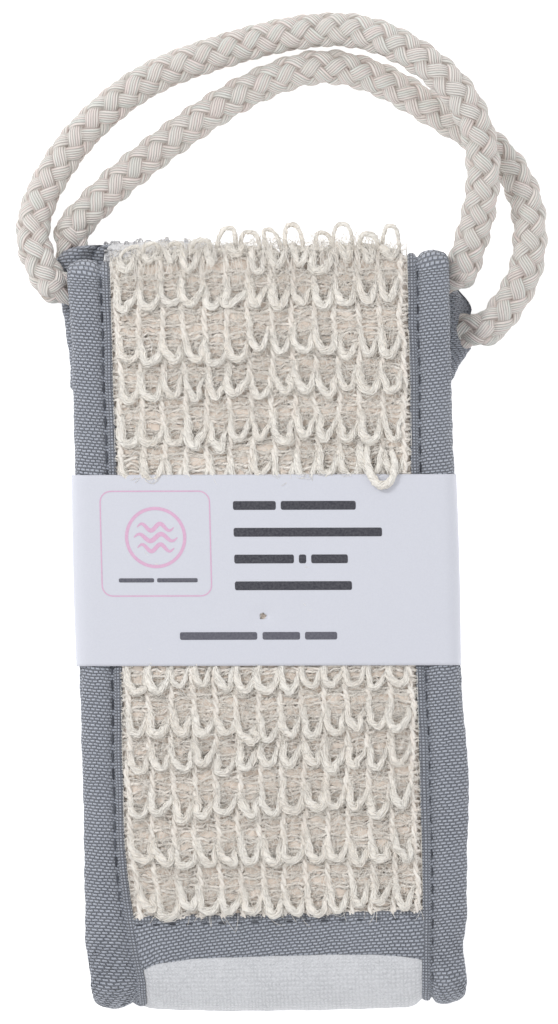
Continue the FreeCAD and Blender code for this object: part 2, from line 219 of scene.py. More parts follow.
def tubes(lines, radii, up, sides=6):
    """Points, quads, uv and line numbers of round tubes along lines, an array of lines by points by 3.

    up gives the direction that each tube's seam faces. The tubes narrow at their ends."""
    lines = np.asarray(lines, float)
    count, length = lines.shape[:2]
    side, over = frames(lines, up)
    radii = np.broadcast_to(np.asarray(radii, float), (count, length)).copy()
    radii[:, [0, -1]] *= 0.35
    angle = np.linspace(0, 2 * math.pi, sides, endpoint=False)
    ring = np.cos(angle)[:, None] * side[:, :, None] + np.sin(angle)[:, None] * over[:, :, None]
    points = lines[:, :, None] + radii[:, :, None, None] * ring
    one = grid_quads(length, sides, closed=True)
    quads = (one[None] + (np.arange(count) * length * sides)[:, None, None]).reshape(-1, 4)
    u = np.repeat(distances(lines)[:, :, None], sides, 2) * MM
    v = np.broadcast_to(angle / (2 * math.pi), (count, length, sides))
    numbers = np.repeat(np.arange(count), length * sides)
    return points.reshape(-1, 3), quads, np.stack([u, v], -1).reshape(-1, 2), numbers


def curve_through(points, count):
    """Smooth curves through control points (curves by points by 3), by Catmull-Rom spans."""
    points = np.asarray(points, float)
    before = 2 * points[:, :1] - points[:, 1:2]
    after = 2 * points[:, -1:] - points[:, -2:-1]
    padded = np.concatenate([before, points, after], 1)
    spans = points.shape[1] - 1
    place = np.linspace(0, spans - 1e-6, count)
    k = place.astype(int)
    t = (place - k)[None, :, None]
    a, b, c, d = (padded[:, k + i] for i in range(4))
    return 0.5 * (2 * b + (c - a) * t + (2 * a - 5 * b + 4 * c - d) * t**2 + (3 * b - a - 3 * c + d) * t**3)


def waves(values, seed, longest, count=5):
    """Smooth noise of about unit height along values, from a few sine waves."""
    draw = np.random.default_rng(seed)
    total = np.zeros(np.shape(values))
    for number in range(count):
        length = longest / (1 + 0.9 * number)
        phase = draw.uniform(0, 2 * math.pi)
        total += np.sin(2 * math.pi * np.asarray(values) / length + phase) / (1 + 0.6 * number)
    return total / 1.8


# Materials -------------------------------------------------------------------------------------------------


class Nodes:
    """A new material's node tree, with short calls for the nodes that the materials here share."""

    def __init__(self, name, roughness=0.85, sheen=0.0):
        self.material = bpy.data.materials.new(name)
        self.material.use_nodes = True
        self.tree = self.material.node_tree
        self.shader = self.tree.nodes["Principled BSDF"]
        self.shader.inputs["Roughness"].default_value = roughness
        self.shader.inputs["Sheen Weight"].default_value = sheen
        self.shader.inputs["Sheen Roughness"].default_value = 0.5
        self.shader.inputs["Specular IOR Level"].default_value = 0.25

    def new(self, kind, **values):
        node = self.tree.nodes.new(kind)
        for key, value in values.items():
            setattr(node, key, value)
        return node

    def link(self, source, target):
        self.tree.links.new(source, target)

    def coordinates(self, kind, scale=(1, 1, 1), turn=0.0):
        source = self.new("ShaderNodeTexCoord")
        mapping = self.new("ShaderNodeMapping")
        mapping.inputs["Scale"].default_value = scale
        mapping.inputs["Rotation"].default_value = (0, 0, turn)
        self.link(source.outputs[kind], mapping.inputs["Vector"])
        return mapping.outputs["Vector"]

    def wavered(self, kind, turn, amount):
        """Coordinates turned, and made uneven by up to so many millimetres."""
        vector = self.coordinates(kind, (1, 1, 1), turn)
        node = self.new("ShaderNodeTexNoise")
        node.inputs["Scale"].default_value = 320
        node.inputs["Detail"].default_value = 2.0
        self.link(self.coordinates(kind), node.inputs["Vector"])
        scaled = self.new("ShaderNodeVectorMath", operation="SCALE")
        scaled.inputs["Scale"].default_value = amount * MM
        self.link(node.outputs["Color"], scaled.inputs[0])
        added = self.new("ShaderNodeVectorMath", operation="ADD")
        self.link(vector, added.inputs[0])
        self.link(scaled.outputs["Vector"], added.inputs[1])
        return added.outputs["Vector"]

    def noise(self, vector, scale, detail=4.0, rough=0.6):
        node = self.new("ShaderNodeTexNoise")
        node.inputs["Scale"].default_value = scale
        node.inputs["Detail"].default_value = detail
        node.inputs["Roughness"].default_value = rough
        self.link(vector, node.inputs["Vector"])
        return node.outputs["Fac"]

    def math(self, operation, a, b=None, clamp=False):
        node = self.new("ShaderNodeMath", operation=operation, use_clamp=clamp)
        for socket, value in zip(node.inputs, (a, b)):
            if value is None:
                continue
            if isinstance(value, (int, float)):
                socket.default_value = value
            else:
                self.link(value, socket)
        return node.outputs[0]

    def ramp(self, factor, stops):
        """A colour ramp from (place, colour) stops."""
        node = self.new("ShaderNodeValToRGB")
        elements = node.color_ramp.elements
        while len(elements) < len(stops):
            elements.new(0.5)
        for element, (place, colour) in zip(elements, stops):
            element.position = place
            element.color = (*colour, 1)
        self.link(factor, node.inputs["Fac"])
        return node.outputs["Color"]

    def mix(self, factor, a, b):
        node = self.new("ShaderNodeMix", data_type="RGBA")
        for socket, value in ((node.inputs["Factor"], factor), (node.inputs["A"], a), (node.inputs["B"], b)):
            self.put(socket, value)
        return node.outputs["Result"]

    def put(self, socket, value):
        if isinstance(value, (int, float)):
            socket.default_value = value
        elif isinstance(value, tuple):
            socket.default_value = (*value, 1)
        else:
            self.link(value, socket)

    def sheared(self, vector, lean):
        """The vector with its x moved on by so much of its y."""
        split = self.new("ShaderNodeSeparateXYZ")
        joined = self.new("ShaderNodeCombineXYZ")
        self.link(vector, split.inputs["Vector"])
        moved = self.math("MULTIPLY", split.outputs["Y"], lean)
        self.link(self.math("ADD", split.outputs["X"], moved), joined.inputs["X"])
        self.link(split.outputs["Y"], joined.inputs["Y"])
        return joined.outputs["Vector"]

    def bricks(self, vector, width, row, gap, offset):
        """Cells like bricks, in millimetres, from 0 in their gaps to about 1 on top."""
        node = self.new("ShaderNodeTexBrick", offset=offset, squash=1.0)
        node.inputs["Scale"].default_value = 1.0 / MM
        node.inputs["Brick Width"].default_value = width
        node.inputs["Row Height"].default_value = row
        node.inputs["Mortar Size"].default_value = gap
        node.inputs["Mortar Smooth"].default_value = 1.0
        node.inputs["Color1"].default_value = (1, 1, 1, 1)
        node.inputs["Color2"].default_value = (0.74, 0.74, 0.74, 1)
        node.inputs["Mortar"].default_value = (0, 0, 0, 1)
        self.link(vector, node.inputs["Vector"])
        return node.outputs["Color"]

    def colour(self, value):
        self.put(self.shader.inputs["Base Color"], value)
        return self

    def bump(self, height, strength, distance):
        node = self.new("ShaderNodeBump")
        node.inputs["Strength"].default_value = strength
        node.inputs["Distance"].default_value = distance * MM
        self.link(height, node.inputs["Height"])
        self.link(node.outputs["Normal"], self.shader.inputs["Normal"])
        return self

    def rough(self, factor, low, high):
        node = self.new("ShaderNodeMapRange")
        node.inputs["To Min"].default_value = low
        node.inputs["To Max"].default_value = high
        self.link(factor, node.inputs["Value"])
        self.link(node.outputs["Result"], self.shader.inputs["Roughness"])
        return self

    def attribute(self, name):
        node = self.new("ShaderNodeAttribute", attribute_name=name)
        return node.outputs["Fac"]


def yarn_material(name, dark, light, fibres=1400, strength=0.55):
    """Spun yarn: fibres twisting round it, fine dirt-free colour changes, and a shade of its own per yarn."""
    nodes = Nodes(name, 0.9, 0.25)
    twisted = nodes.coordinates("UV", (fibres, 9, 1), 0.35)
    strands = nodes.noise(twisted, 1.0, 3.0)
    place = nodes.coordinates("Object")
    blotches = nodes.noise(place, 260, 3.0)
    mixed = nodes.math("ADD", nodes.math("MULTIPLY", strands, 0.5), nodes.math("MULTIPLY", blotches, 0.3))
    shade = nodes.math("ADD", mixed, nodes.math("MULTIPLY", nodes.attribute("shade"), 0.35), clamp=True)
    nodes.colour(nodes.ramp(shade, [(0.3, dark), (0.68, light)]))
    nodes.rough(strands, 0.8, 0.98)
    return nodes.bump(strands, strength, 0.35).material


def rope_material():
    """Strands of fine cotton yarns side by side, faint pink and green among the off-white, with painted shade
    in the grooves.
    """
    nodes = Nodes("rope_cotton_yarn", 0.9, 0.25)
    split = nodes.new("ShaderNodeSeparateXYZ")
    nodes.link(nodes.coordinates("UV"), split.inputs["Vector"])
    drift = nodes.noise(nodes.coordinates("UV", (90, 0, 1)), 1.0, 2.0)
    place = nodes.math("MULTIPLY", split.outputs["Y"], YARN_WAVES)
    across = nodes.math("ADD", place, nodes.math("MULTIPLY", drift, 2.5))
    ridges = nodes.math("POWER", nodes.math("ABSOLUTE", nodes.math("SINE", across)), 0.6)
    fibres = nodes.noise(nodes.coordinates("UV", (700, 9000, 1)), 1.0, 3.0)
    tint = nodes.noise(nodes.coordinates("UV", (25, 1500, 1)), 1.0, 1.0)
    height = nodes.math("ADD", nodes.math("MULTIPLY", ridges, 0.8), nodes.math("MULTIPLY", fibres, 0.35))
    raised = nodes.math("ADD", 0.28, nodes.math("MULTIPLY", height, 0.7))
    lit = nodes.math("MULTIPLY", raised, nodes.attribute("shade"))
    pinkish, plain, greenish = (0.90, 0.80, 0.765), (0.885, 0.84, 0.795), (0.83, 0.84, 0.795)
    base = nodes.ramp(tint, [(0.36, pinkish), (0.5, plain), (0.66, greenish)])
    # Painted shade: the colour falls from the base towards a dark shade colour in the grooves between the
    # yarns and where the per-point shade is low.
    painted_shade_colour = nodes.ramp(tint, [(0.4, (0.36, 0.28, 0.24)), (0.6, (0.38, 0.32, 0.28))])
    nodes.colour(nodes.mix(nodes.math("MULTIPLY", lit, 1.56, True), painted_shade_colour, base))
    nodes.rough(height, 0.95, 0.8)
    return nodes.bump(height, 1.0, 0.4).material


def tape_material(name, dark, light, selvedge, axis="Y"):
    """Woven tape: rows of plump staggered cells, leaning a little, with painted shade in their gaps and a
    painted highlight on their high spots.

    Below and above selvedge's two places along axis, in metres, it has a ladder of small cells instead."""
    nodes = Nodes(name, 0.8, 0.3)
    leaning = nodes.sheared(nodes.wavered("UV", math.pi / 2 + 0.1, 0.75), 0.28)
    cells = nodes.bricks(leaning, 1.42, 0.82, 0.24, 0.5)
    ladder = nodes.bricks(nodes.wavered("UV", math.pi / 2, 0.3), 0.88, 0.8, 0.24, 0.0)
    split = nodes.new("ShaderNodeSeparateXYZ")
    nodes.link(nodes.coordinates("UV"), split.inputs["Vector"])
    near = nodes.math("LESS_THAN", split.outputs[axis], selvedge[0])
    far = nodes.math("GREATER_THAN", split.outputs[axis], selvedge[1])
    cells = nodes.mix(nodes.math("ADD", near, far, True), cells, ladder)
    wobble = nodes.noise(nodes.coordinates("Object"), 1100, 3.0)
    height = nodes.math("MULTIPLY", cells, nodes.math("ADD", 0.55, nodes.math("MULTIPLY", wobble, 0.9)))
    patches = nodes.noise(nodes.coordinates("Object"), 70, 3.0)
    between = tuple((a + b) / 2 for a, b in zip(dark, light))
    # Painted shade and highlight: dark in the gaps between the cells and pale on their tops.
    weave = nodes.ramp(height, [(0.08, dark), (0.45, between), (0.95, light)])
    paler = tuple(min(1.0, c * 1.3) for c in light)
    nodes.colour(nodes.mix(nodes.math("MULTIPLY", patches, 0.3), weave, paler))
    nodes.rough(height, 0.92, 0.72)
    return nodes.bump(height, 1.0, 0.6).material


def cloth_material(name, dark, light, pile):
    """White cotton: a fine plain weave at pile 0, and a towelling of small uneven loops at 1, with painted
    shade in the hollows.
    """
    nodes = Nodes(name, 0.92, 0.35)
    across = nodes.new("ShaderNodeTexWave", wave_type="BANDS", bands_direction="X")
    down = nodes.new("ShaderNodeTexWave", wave_type="BANDS", bands_direction="Y")
    threads = nodes.coordinates("UV")
    for wave, size in ((across, 330), (down, 300)):
        wave.inputs["Scale"].default_value = size
        wave.inputs["Distortion"].default_value = 3.2
        wave.inputs["Detail"].default_value = 2.0
        wave.inputs["Detail Scale"].default_value = 1.6
        nodes.link(threads, wave.inputs["Vector"])
    weave = nodes.math("MULTIPLY", across.outputs["Fac"], down.outputs["Fac"])
    tufts = nodes.noise(nodes.coordinates("Object"), 1500 - 500 * pile, 3.0, 0.7)
    raised = nodes.math("MULTIPLY", tufts, 0.5 + pile)
    height = nodes.math("ADD", nodes.math("MULTIPLY", weave, 1 - pile), raised)
    patches = nodes.noise(nodes.coordinates("Object"), 90, 2.0)
    # Painted shade: the colour darkens where the weave and the tufts are low, mixed with random patches.
    hollow_shade_and_patches = nodes.math("ADD", nodes.math("MULTIPLY", height, 0.7), nodes.math("MULTIPLY", patches, 0.3))
    nodes.colour(nodes.ramp(hollow_shade_and_patches, [(0.15, dark), (0.6, light)]))
    nodes.rough(height, 0.98, 0.82)
    return nodes.bump(height, 0.7, 0.4 + 0.3 * pile).material


def paper_material():
    """Smooth coated paper with a faint tooth and the slightest waviness."""
    nodes = Nodes("paper_coated", 0.42)
    nodes.shader.inputs["Specular IOR Level"].default_value = 0.35
    place = nodes.coordinates("Object")
    tooth = nodes.noise(place, 2500, 2.0)
    cockle = nodes.noise(place, 28, 2.0)
    nodes.colour(nodes.ramp(tooth, [(0.2, (0.67, 0.685, 0.76)), (0.8, (0.71, 0.725, 0.80))]))
    nodes.rough(cockle, 0.36, 0.52)
    height = nodes.math("ADD", nodes.math("MULTIPLY", tooth, 0.04), cockle)
    return nodes.bump(height, 0.25, 0.3).material


def ink_material(name, colour):
    """Printed ink, a little uneven in the solid."""
    nodes = Nodes(name, 0.45)
    mottled = nodes.noise(nodes.coordinates("Object"), 1800, 2.0)
    paler = tuple(c + 0.06 for c in colour)
    nodes.colour(nodes.ramp(mottled, [(0.3, colour), (0.75, paler)]))
    return nodes.rough(mottled, 0.4, 0.55).material


def glue_material():
    """Dried adhesive, yellowish and slightly streaked."""
    nodes = Nodes("dried_glue", 0.35)
    streaks = nodes.noise(nodes.coordinates("Object", (60, 900, 60)), 1.0, 3.0)
    nodes.colour(nodes.ramp(streaks, [(0.3, (0.62, 0.55, 0.38)), (0.8, (0.78, 0.72, 0.55))]))
    return nodes.bump(streaks, 0.3, 0.1).material


def floor_material():
    nodes = Nodes("floor_paper", 0.9)
    grain = nodes.noise(nodes.coordinates("Object"), 40, 2.0)
    nodes.colour(nodes.ramp(grain, [(0.0, (0.93, 0.93, 0.93)), (1.0, (0.95, 0.95, 0.95))]))
    nodes.shader.inputs["Emission Color"].default_value = (1, 1, 1, 1)
    nodes.shader.inputs["Emission Strength"].default_value = 0.6
    return nodes.material


SISAL = yarn_material("sisal_yarn", (0.95, 0.875, 0.79), (0.985, 0.955, 0.90), strength=0.35)
INLAY = yarn_material("sisal_inlay_yarn", (0.94, 0.865, 0.795), (0.99, 0.95, 0.895), strength=0.35)
GROUND = yarn_material("sisal_ground_web", (0.885, 0.775, 0.685), (0.98, 0.91, 0.84), 700, 0.35)
FIBRE = yarn_material("sisal_fibre", (0.94, 0.875, 0.80), (1.0, 0.97, 0.92), 300, 0.2)
ROPE = rope_material()
GREYS = ((0.14, 0.152, 0.188), (0.47, 0.50, 0.57))
TAPE = tape_material("grey_woven_tape", *GREYS, (0.0, (TAPE_S[1] - 1.4) * MM), "X")
BINDING = tape_material("grey_woven_binding", *GREYS, (0.0026, 0.0276))
# The thread is near-black so that the stitches also give the painted shade of the needle holes in the seams'
# grooves.
THREAD = yarn_material("sewing_thread_and_painted_hole_shade", (0.035, 0.038, 0.05), (0.12, 0.13, 0.155), 2500)
CLOTH = cloth_material("white_cotton_cloth", (0.47, 0.48, 0.505), (0.75, 0.76, 0.795), pile=0.35)
TERRY = cloth_material("white_towelling", (0.56, 0.57, 0.60), (0.88, 0.88, 0.90), pile=0.8)
PAPER = paper_material()
INK_DARK = ink_material("ink_dark_grey", (0.045, 0.045, 0.06))
INK_GREY = ink_material("ink_mid_grey", (0.11, 0.11, 0.14))
INK_PINK = ink_material("ink_pink", (0.72, 0.44, 0.62))
GLUE = glue_material()
TACK = yarn_material("grey_bar_tack_thread", (0.13, 0.14, 0.165), (0.30, 0.32, 0.37), 2500)


# The strap's plies and tapes -------------------------------------------------------------------------------


def strip(name, section, s_range, step, material, wobble=None, bow=None):
    """A closed cross-section of (x, h) points carried along the strap from one s to another.

    wobble gives h an offset from (s, x, h), and bow gives s one from (s, x). The ends are closed flat."""
    s = np.arange(s_range[0], s_range[1] + step / 2, step)
    s = np.linspace(s_range[0], s_range[1], len(s))
    section = np.asarray(section, float)
    around = distances(np.vstack([section, section[:1]]))
    x = np.broadcast_to(section[:, 0], (len(s), len(section))).copy()
    h = np.broadcast_to(section[:, 1], (len(s), len(section))).copy()
    along = s[:, None] + (bow(s[:, None], x) if bow else 0.0)
    if wobble is not None:
        h = h + wobble(s[:, None], x, h)
    x = drawn_in(along, x)
    h[[0, -1]] *= 0.55
    points, _ = on_strap(along, x, h)
    u = np.broadcast_to(s[:, None], x.shape) * MM
    v = np.broadcast_to(around[:-1], x.shape) * MM
    rings = len(s)
    quads = grid_quads(rings, len(section), closed=True)
    caps = [cap_quads(len(section), 0), cap_quads(len(section), (rings - 1) * len(section))[:, ::-1]]
    quads = np.concatenate([quads, *caps])
    return add_mesh(name, points, quads, np.stack([u, v], -1), material)


def cap_quads(count, first):
    """Quads that close a ring of an even number of points by joining its two halves."""
    half = count // 2
    near = np.arange(half - 1)
    return first + np.stack([near, near + 1, count - 2 - near, count - 1 - near], -1)[:, ::-1]


def slab(x_half, low, high, columns):
    """A flat section from -x_half to x_half: the top face left to right, then the underside back."""
    across = np.linspace(-x_half, x_half, columns)
    top = np.stack([across, np.full(columns, high)], -1)
    bottom = np.stack([across[::-1], np.full(columns, low)], -1)
    return np.concatenate([top, bottom])


def ride(thing, body="strap", replaces=()):
    """Say what body the piece moves with and which CAD nodes it stands for."""
    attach(thing, body)
    if replaces:
        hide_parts(*replaces)
    return thing


def spun(name, made, material, shades, replaces=()):
    """A piece on the strap from what tubes or yarns made, with a shade for each of its lines."""
    points, quads, uv, numbers = made
    thing = add_mesh(name, points, quads, uv, material, np.asarray(shades)[numbers])
    return ride(thing, replaces=replaces)


def puff(amount, seed):
    """An uneven swelling on a ply's sisal side."""

    def wobble(s, x, h):
        swell = waves(s, seed, 31) * waves(x, seed + 1, 23) * 0.6 + waves(s + 0.7 * x, seed + 2, 9) * 0.4
        tucked = np.clip((np.abs(x) - WRAP + 2.4) / 2.2, 0, 1) * 0.95
        sunk = np.clip((s - TAPE_S[0] + 1.5 - tape_bow(TAPE_S[0], x)) / 1.5, 0, 1) * (s < TAPE_S[1]) * 0.5
        return np.where(h > 1.0, amount * swell - tucked - sunk, 0.0)

    return wobble


def make_plies():
    whole = (-FLARE + 1, STARTS[7] - 1)
    under = slab(WRAP + 1.2, -2.3, -0.05, 60)
    under[:, 1] *= np.interp(np.abs(under[:, 0]), [WRAP - 1.6, WRAP - 0.2, WRAP + 1.2], [1.0, 0.75, 0.5])
    backing = strip("towelling_backing", under, whole, 1.5, TERRY)
    ride(backing, replaces=["terry_backing"])
    sisal_range = (TAPE_S[1] - 1, INNER_TAPE_S[0] + 1)
    ground = strip("sisal_ground", slab(WRAP + 1.2, 0.0, 1.5, 80), sisal_range, 1.2, GROUND, puff(0.18, 5))
    ride(ground, replaces=["sisal_pad"])
    section = slab(WRAP + 0.9, 0.0, 2.25, 70)
    outer = strip("white_cloth_outer_end", section, (-FLARE + 2, TAPE_S[0] + 2), 1.0, CLOTH, puff(0.22, 11))
    ride(outer, replaces=["outer_end_cloth"])
    section = slab(WRAP + 0.9, 0.0, 2.1, 50)
    inner = strip("white_cloth_inner_end", section, (INNER_TAPE_S[1] - 2, STARTS[7] - 2), 1.6, CLOTH)
    ride(inner, replaces=["inner_end_cloth"])


def binding_section(side):
    """The folded tape's section: a plump roll at the edge, and a groove and a thin selvedge on each face."""
    top = [(WRAP - 0.3, 1.6), (WRAP, 2.1), (WRAP + 0.5, 2.3), (WRAP + 1.3, 2.2), (WRAP + 1.8, 1.9)]
    top += [(WRAP + 2.2, 1.1), (WRAP + 2.6, 1.05), (WRAP + 3.0, 1.6), (WRAP + 3.6, 2.15), (WRAP + 4.4, 2.5)]
    top += [(WRAP + 5.2, 2.68), (WRAP + 6.1, 2.78), (WRAP + 7.0, 2.76)]
    top += [(WRAP + 7.8, 2.62), (WRAP + 8.5, 2.38)]
    lip = [(EDGE - 2.4 * (1 - math.sin(a)), 2.2 * math.cos(a)) for a in np.radians([12, 28, 44, 60, 75, 90])]
    half = top + lip
    under = [(x, -h) for x, h in half[:-1][::-1]]
    return [(side * x, h) for x, h in half + under]


def pinch(s):
    """How far the strap draws in from its full width: most at the paper band, a little unevenly elsewhere."""
    y = s - ON_LAYER_1
    held = np.exp(-(((y - 15) / 38) ** 2)) * 0.014
    return 1 - held + 0.004 * waves(s, 3, 90)


# How much wider each binding stands at the outer end: y, and the left's and the right's extra width there
FLARE_Y = [START_Y, 73, 86, 97, 101.5]
FLARE_OUT = {-1: [0.0, 0.2, 2.0, 3.8, 2.4], 1: [0.0, 5.0, 5.6, 5.6, 5.6]}


def flare_out(y, end_y, side):
    """A binding's extra width at y, rounded off where it ends at end_y."""
    last = np.clip((y - (end_y - 3.0)) / 3.0, 0, 1)
    return np.interp(y, FLARE_Y, FLARE_OUT[side]) - 3.2 * (1 - np.sqrt(np.clip(1 - last**2, 0, 1)))


def eared(h, s, y, share, side):
    """The heights h, changed where the outer end's binding goes round the rope sewn into it."""
    start, length, inner, width = (71, 6, 0.7, 0.3) if side > 0 else (91, 4, 0.1, 0.4)
    under, over = (1.9, 0.3) if side > 0 else (-1.25, 0.0)
    ear = np.clip((y - start) / length, 0, 1)[:, None] * np.clip((share - inner) / width, 0, 1)
    return h + np.where(h < 0, under, over) * ear * (s < 0)[:, None] * np.abs(h)


def settled(points, s, share, roll, side):
    """A binding's points as its soft edge lies: uneven along the strap, inside the paper band, and gathered
    and creased at the bottom fold."""
    y = points[..., 1].copy()
    folded = (s > 0)[:, None]
    bottom = np.clip((-92.5 - y) / 8.0, 0, 1) ** 2
    if side > 0:
        uneven = 1.5 * np.exp(-(((y + 42) / 17) ** 2)) - 0.5 * np.clip((y - 38) / 8, 0, 1) * folded
        waist = 1.3 * np.exp(-(((y + 86) / 6) ** 2))
        gather, rise, crease = 1.9, 0.6, 0.5
    else:
        uneven = 0.7 * np.clip((96 - np.abs(y)) / 20, 0, 1) * folded
        waist = 1.5 * np.clip((-82 - y) / 7, 0, 1)
        gather, rise, crease = 2.4, 1.0, 0.8
    points[..., 0] += share * uneven
    points[..., 0] -= side * share * (bottom * gather + waist)
    points[..., 1] += share * bottom * rise
    middle, half = (BAND_LOW[1] + BAND_HIGH[1]) / 2, (BAND_HIGH[1] - BAND_LOW[1]) / 2
    room = BAND_HALF - BAND_ROOM + 0.2 * np.maximum(0, np.abs(points[..., 1] - middle) - half)
    points[..., 0] = np.clip(points[..., 0], -room, room)
    front = ((s > STARTS[1]) & (s < STARTS[3]))[:, None]
    creased = np.clip((-72 - points[..., 1]) / 14, 0, 1) * front * roll
    points[..., 2] += crease * waves(1.3 * side * points[..., 0] + 0.8 * s[:, None], 45, 6.5) * creased
    return points


def binding(name, side):
    """One edge binding, flared at the outer end and gathered in at the bottom fold."""
    section = np.array(binding_section(side))
    s = np.arange(-FLARE, STARTS[7] - 0.3, 0.8)
    end_y = outer_end_y(side * EDGE)
    y = START_Y + (end_y - START_Y) * np.clip(-s / FLARE, 0, 1)
    extra = flare_out(y, end_y, side)
    share = np.clip((np.abs(section[:, 0]) - WRAP) / (EDGE - WRAP), 0, 1)
    x = section[:, 0] * pinch(s)[:, None] + side * (extra[:, None] * (0.55 + 0.45 * share))
    x = x - side * np.clip(1.25 - 1.25 * share, 0, 1) * lean_in(s, side)[:, None]
    roll = (share > 0.3) & (np.abs(section[:, 1]) > 0.5)
    h = section[:, 1] + 0.10 * waves(s, 21 + side, 17)[:, None] * roll * np.sign(section[:, 1])
    h = h + 0.06 * waves(s[:, None] + 2.3 * section[:, 0], 25 + side, 6) * roll * np.sign(section[:, 1])
    x = x + side * 0.16 * waves(s, 31 + side, 12)[:, None] * (share > 0.8)
    h = eared(h, s, y, share, side)
    h[[0, -1]] *= 0.6
    points, _ = on_strap(s[:, None], x, h)
    points = settled(points, s, share, roll, side)
    v = np.broadcast_to(distances(section), x.shape) * MM
    u = np.broadcast_to(s[:, None], x.shape) * MM
    rings, count = x.shape
    caps = [cap_quads(count, 0), cap_quads(count, (rings - 1) * count)[:, ::-1]]
    quads = np.concatenate([grid_quads(rings, count), *caps])
    thing = add_mesh(name, points, quads, np.stack([u, v], -1), BINDING)
    return ride(thing, replaces=[name.replace("_tape", "")])


def lean_in(s, side):
    """How far a binding's inner edge leans over the strap near the bottom fold, more on the left."""
    y = np.asarray(s) - ON_LAYER_1
    near = np.clip((-52 - y) / 40, 0, 1) * np.clip((y + 112) / 12, 0, 1)
    return (4.6 if side < 0 else 0.8) * near**1.5


def drawn_in(s, x):
    """The knit's x, drawn in where the left binding leans over it."""
    return x + lean_in(s, -1) * np.clip(-x / WRAP, 0, 1)


def stitch_row(name, s_values, x_values, h_values, length, radius, along_strap=True, replaces=()):
    """Short raised stitches of near-black sewing thread, each dipping into the cloth at both ends, which also
    give the painted shade of the needle holes.
    """
    t = np.linspace(-0.5, 0.5, 6)
    dip = np.array([-0.45, 0.0, 0.16, 0.16, 0.0, -0.45])
    s = s_values[:, None] + (length * t if along_strap else 0 * t)
    x = x_values[:, None] + (0 * t if along_strap else length * t)
    sign = np.sign(h_values)[:, None]
    points, normals = on_strap(s, x, h_values[:, None] + sign * dip)
    made = tubes(points, radius, normals, 6)
    return spun(name, made, THREAD, RNG.uniform(0, 1, len(s_values)), replaces)


def make_tapes():
    for side, name in ((-1, "left_binding_tape"), (1, "right_binding_tape")):
        binding(name, side)
    rib = [(x, 2.4 - 0.5 * max(0.0, abs(x) - WRAP + 0.8)) for x in np.linspace(-WRAP - 1.3, WRAP + 1.3, 90)]
    section = rib + [(x, 1.2) for x, _ in rib[::-1]]
    span = (TAPE_S[0] - 1.0, TAPE_S[1] + 0.5)
    front = strip("front_cross_tape_weave", section, span, 0.7, TAPE, tape_profile, tape_bow)
    ride(front, replaces=["front_cross_tape"])
    flat = slab(WRAP + 0.4, 1.5, 2.3, 40)
    inner = strip("inner_cross_tape_weave", flat, INNER_TAPE_S, 1.5, TAPE)
    ride(inner, replaces=["inner_cross_tape"])


def tape_bow(s, x):
    """How far down the strap the cross tape's lower part droops towards its ends."""
    out = np.abs(x) + 2.5 * (x > 0)
    droop = np.interp(out, [0, 24, 31, 35, 38, 40], [0.0, 0.3, 0.9, 1.5, 2.4, 2.8])
    droop = droop * np.where(x < 0, 1.0, 0.6)
    return -droop * np.clip((TAPE_S[1] - s) / (TAPE_S[1] - TAPE_S[0]), 0, 1)


def tape_profile(s, x, h):
    """A cross tape's height along the strap: thin at its upper selvedge, grooved at its seam, then plump."""
    upper, lower = TAPE_S
    place = [upper - 1.0, upper + 0.4, upper + 4, lower - 2.9, lower - 2.2, lower - 1.5, lower]
    height = [-0.25, 0.05, 0.2, 0.05, -0.35, -0.05, -0.2]
    sag = 0.15 * waves(x, 8, 30)
    return np.where(h > 2.0, np.interp(s, place, height) + sag, 0.0)


def make_stitches():
    """The seams' threads, with none where the bindings turn sharply round the front's two folds."""
    stitch = 4.6
    top_clearance, bottom_clearance = 5, 8
    whole = np.arange(2.0, STARTS[7] - 12, stitch)
    bottom_fold = STARTS[1] + LENGTHS[1] / 2
    whole = whole[(np.abs(whole - CREST) > top_clearance) & (np.abs(whole - bottom_fold) > bottom_clearance)]
    for side, name in ((-1, "left_binding"), (1, "right_binding")):
        s = np.concatenate([whole, whole])
        x = side * (WRAP + 2.35) * pinch(s)
        height, radius = (1.35, 0.27) if side < 0 else (1.15, 0.2)
        h = np.concatenate([np.full(len(whole), height), np.full(len(whole), -height)])
        x = x - side * 0.6 * lean_in(s, side)
        stitch_row(f"{name}_stitches", s, x, h, 3.4, radius, replaces=[f"{name}_seam"])
    across = np.arange(-WRAP + 1.5, WRAP - 1, stitch)
    for node, span in (("front", TAPE_S), ("inner", INNER_TAPE_S)):
        s = np.full(len(across), span[1] - 2.2 if node == "front" else span[0] + 2.2)
        x, h = drawn_in(s, across), np.full(len(across), 2.2)
        stitch_row(f"{node}_tape_stitches", s, x, h, 2.3, 0.22, False, replaces=[f"{node}_tape_seam"])


# The sisal's knitted loops ---------------------------------------------------------------------------------

WALES = np.linspace(-37.2, 37.0, 14)
WALE_GAP = WALES[1] - WALES[0]
ROW_STEPS = [13.0, 13.0, 11.8, 8.8, 11.8, 10.6, 11.6, 10.4, 10.6]
ROW_STEPS += [11.2, 10.4, 12.0, 10.0, 13.6, 9.4, 9.8, 9.0, 12.0]


def sisal_rows():
    """The s of each row of hanging loops, from the cross tape up and over the top fold."""
    first = TAPE_S[1] + 0.6
    return first + np.concatenate([[0.0], np.cumsum(ROW_STEPS)])


def sisal_lines(control, count):
    """Curves given by control points in (s, x, h), as points of the strap with its normals."""
    line = curve_through(control, count)
    return on_strap(line[..., 0], drawn_in(line[..., 0], line[..., 1]), line[..., 2])


def under_band(s):
    """1 where the paper band presses on the sisal, falling to 0 beside it."""
    y = s - ON_LAYER_1
    low, high = BAND_LOW[1] - 1.5, BAND_HIGH[1] + 1.0
    return 1 / (1 + np.exp(-(y - low) / 0.6)) * 1 / (1 + np.exp((y - high) / 0.6))


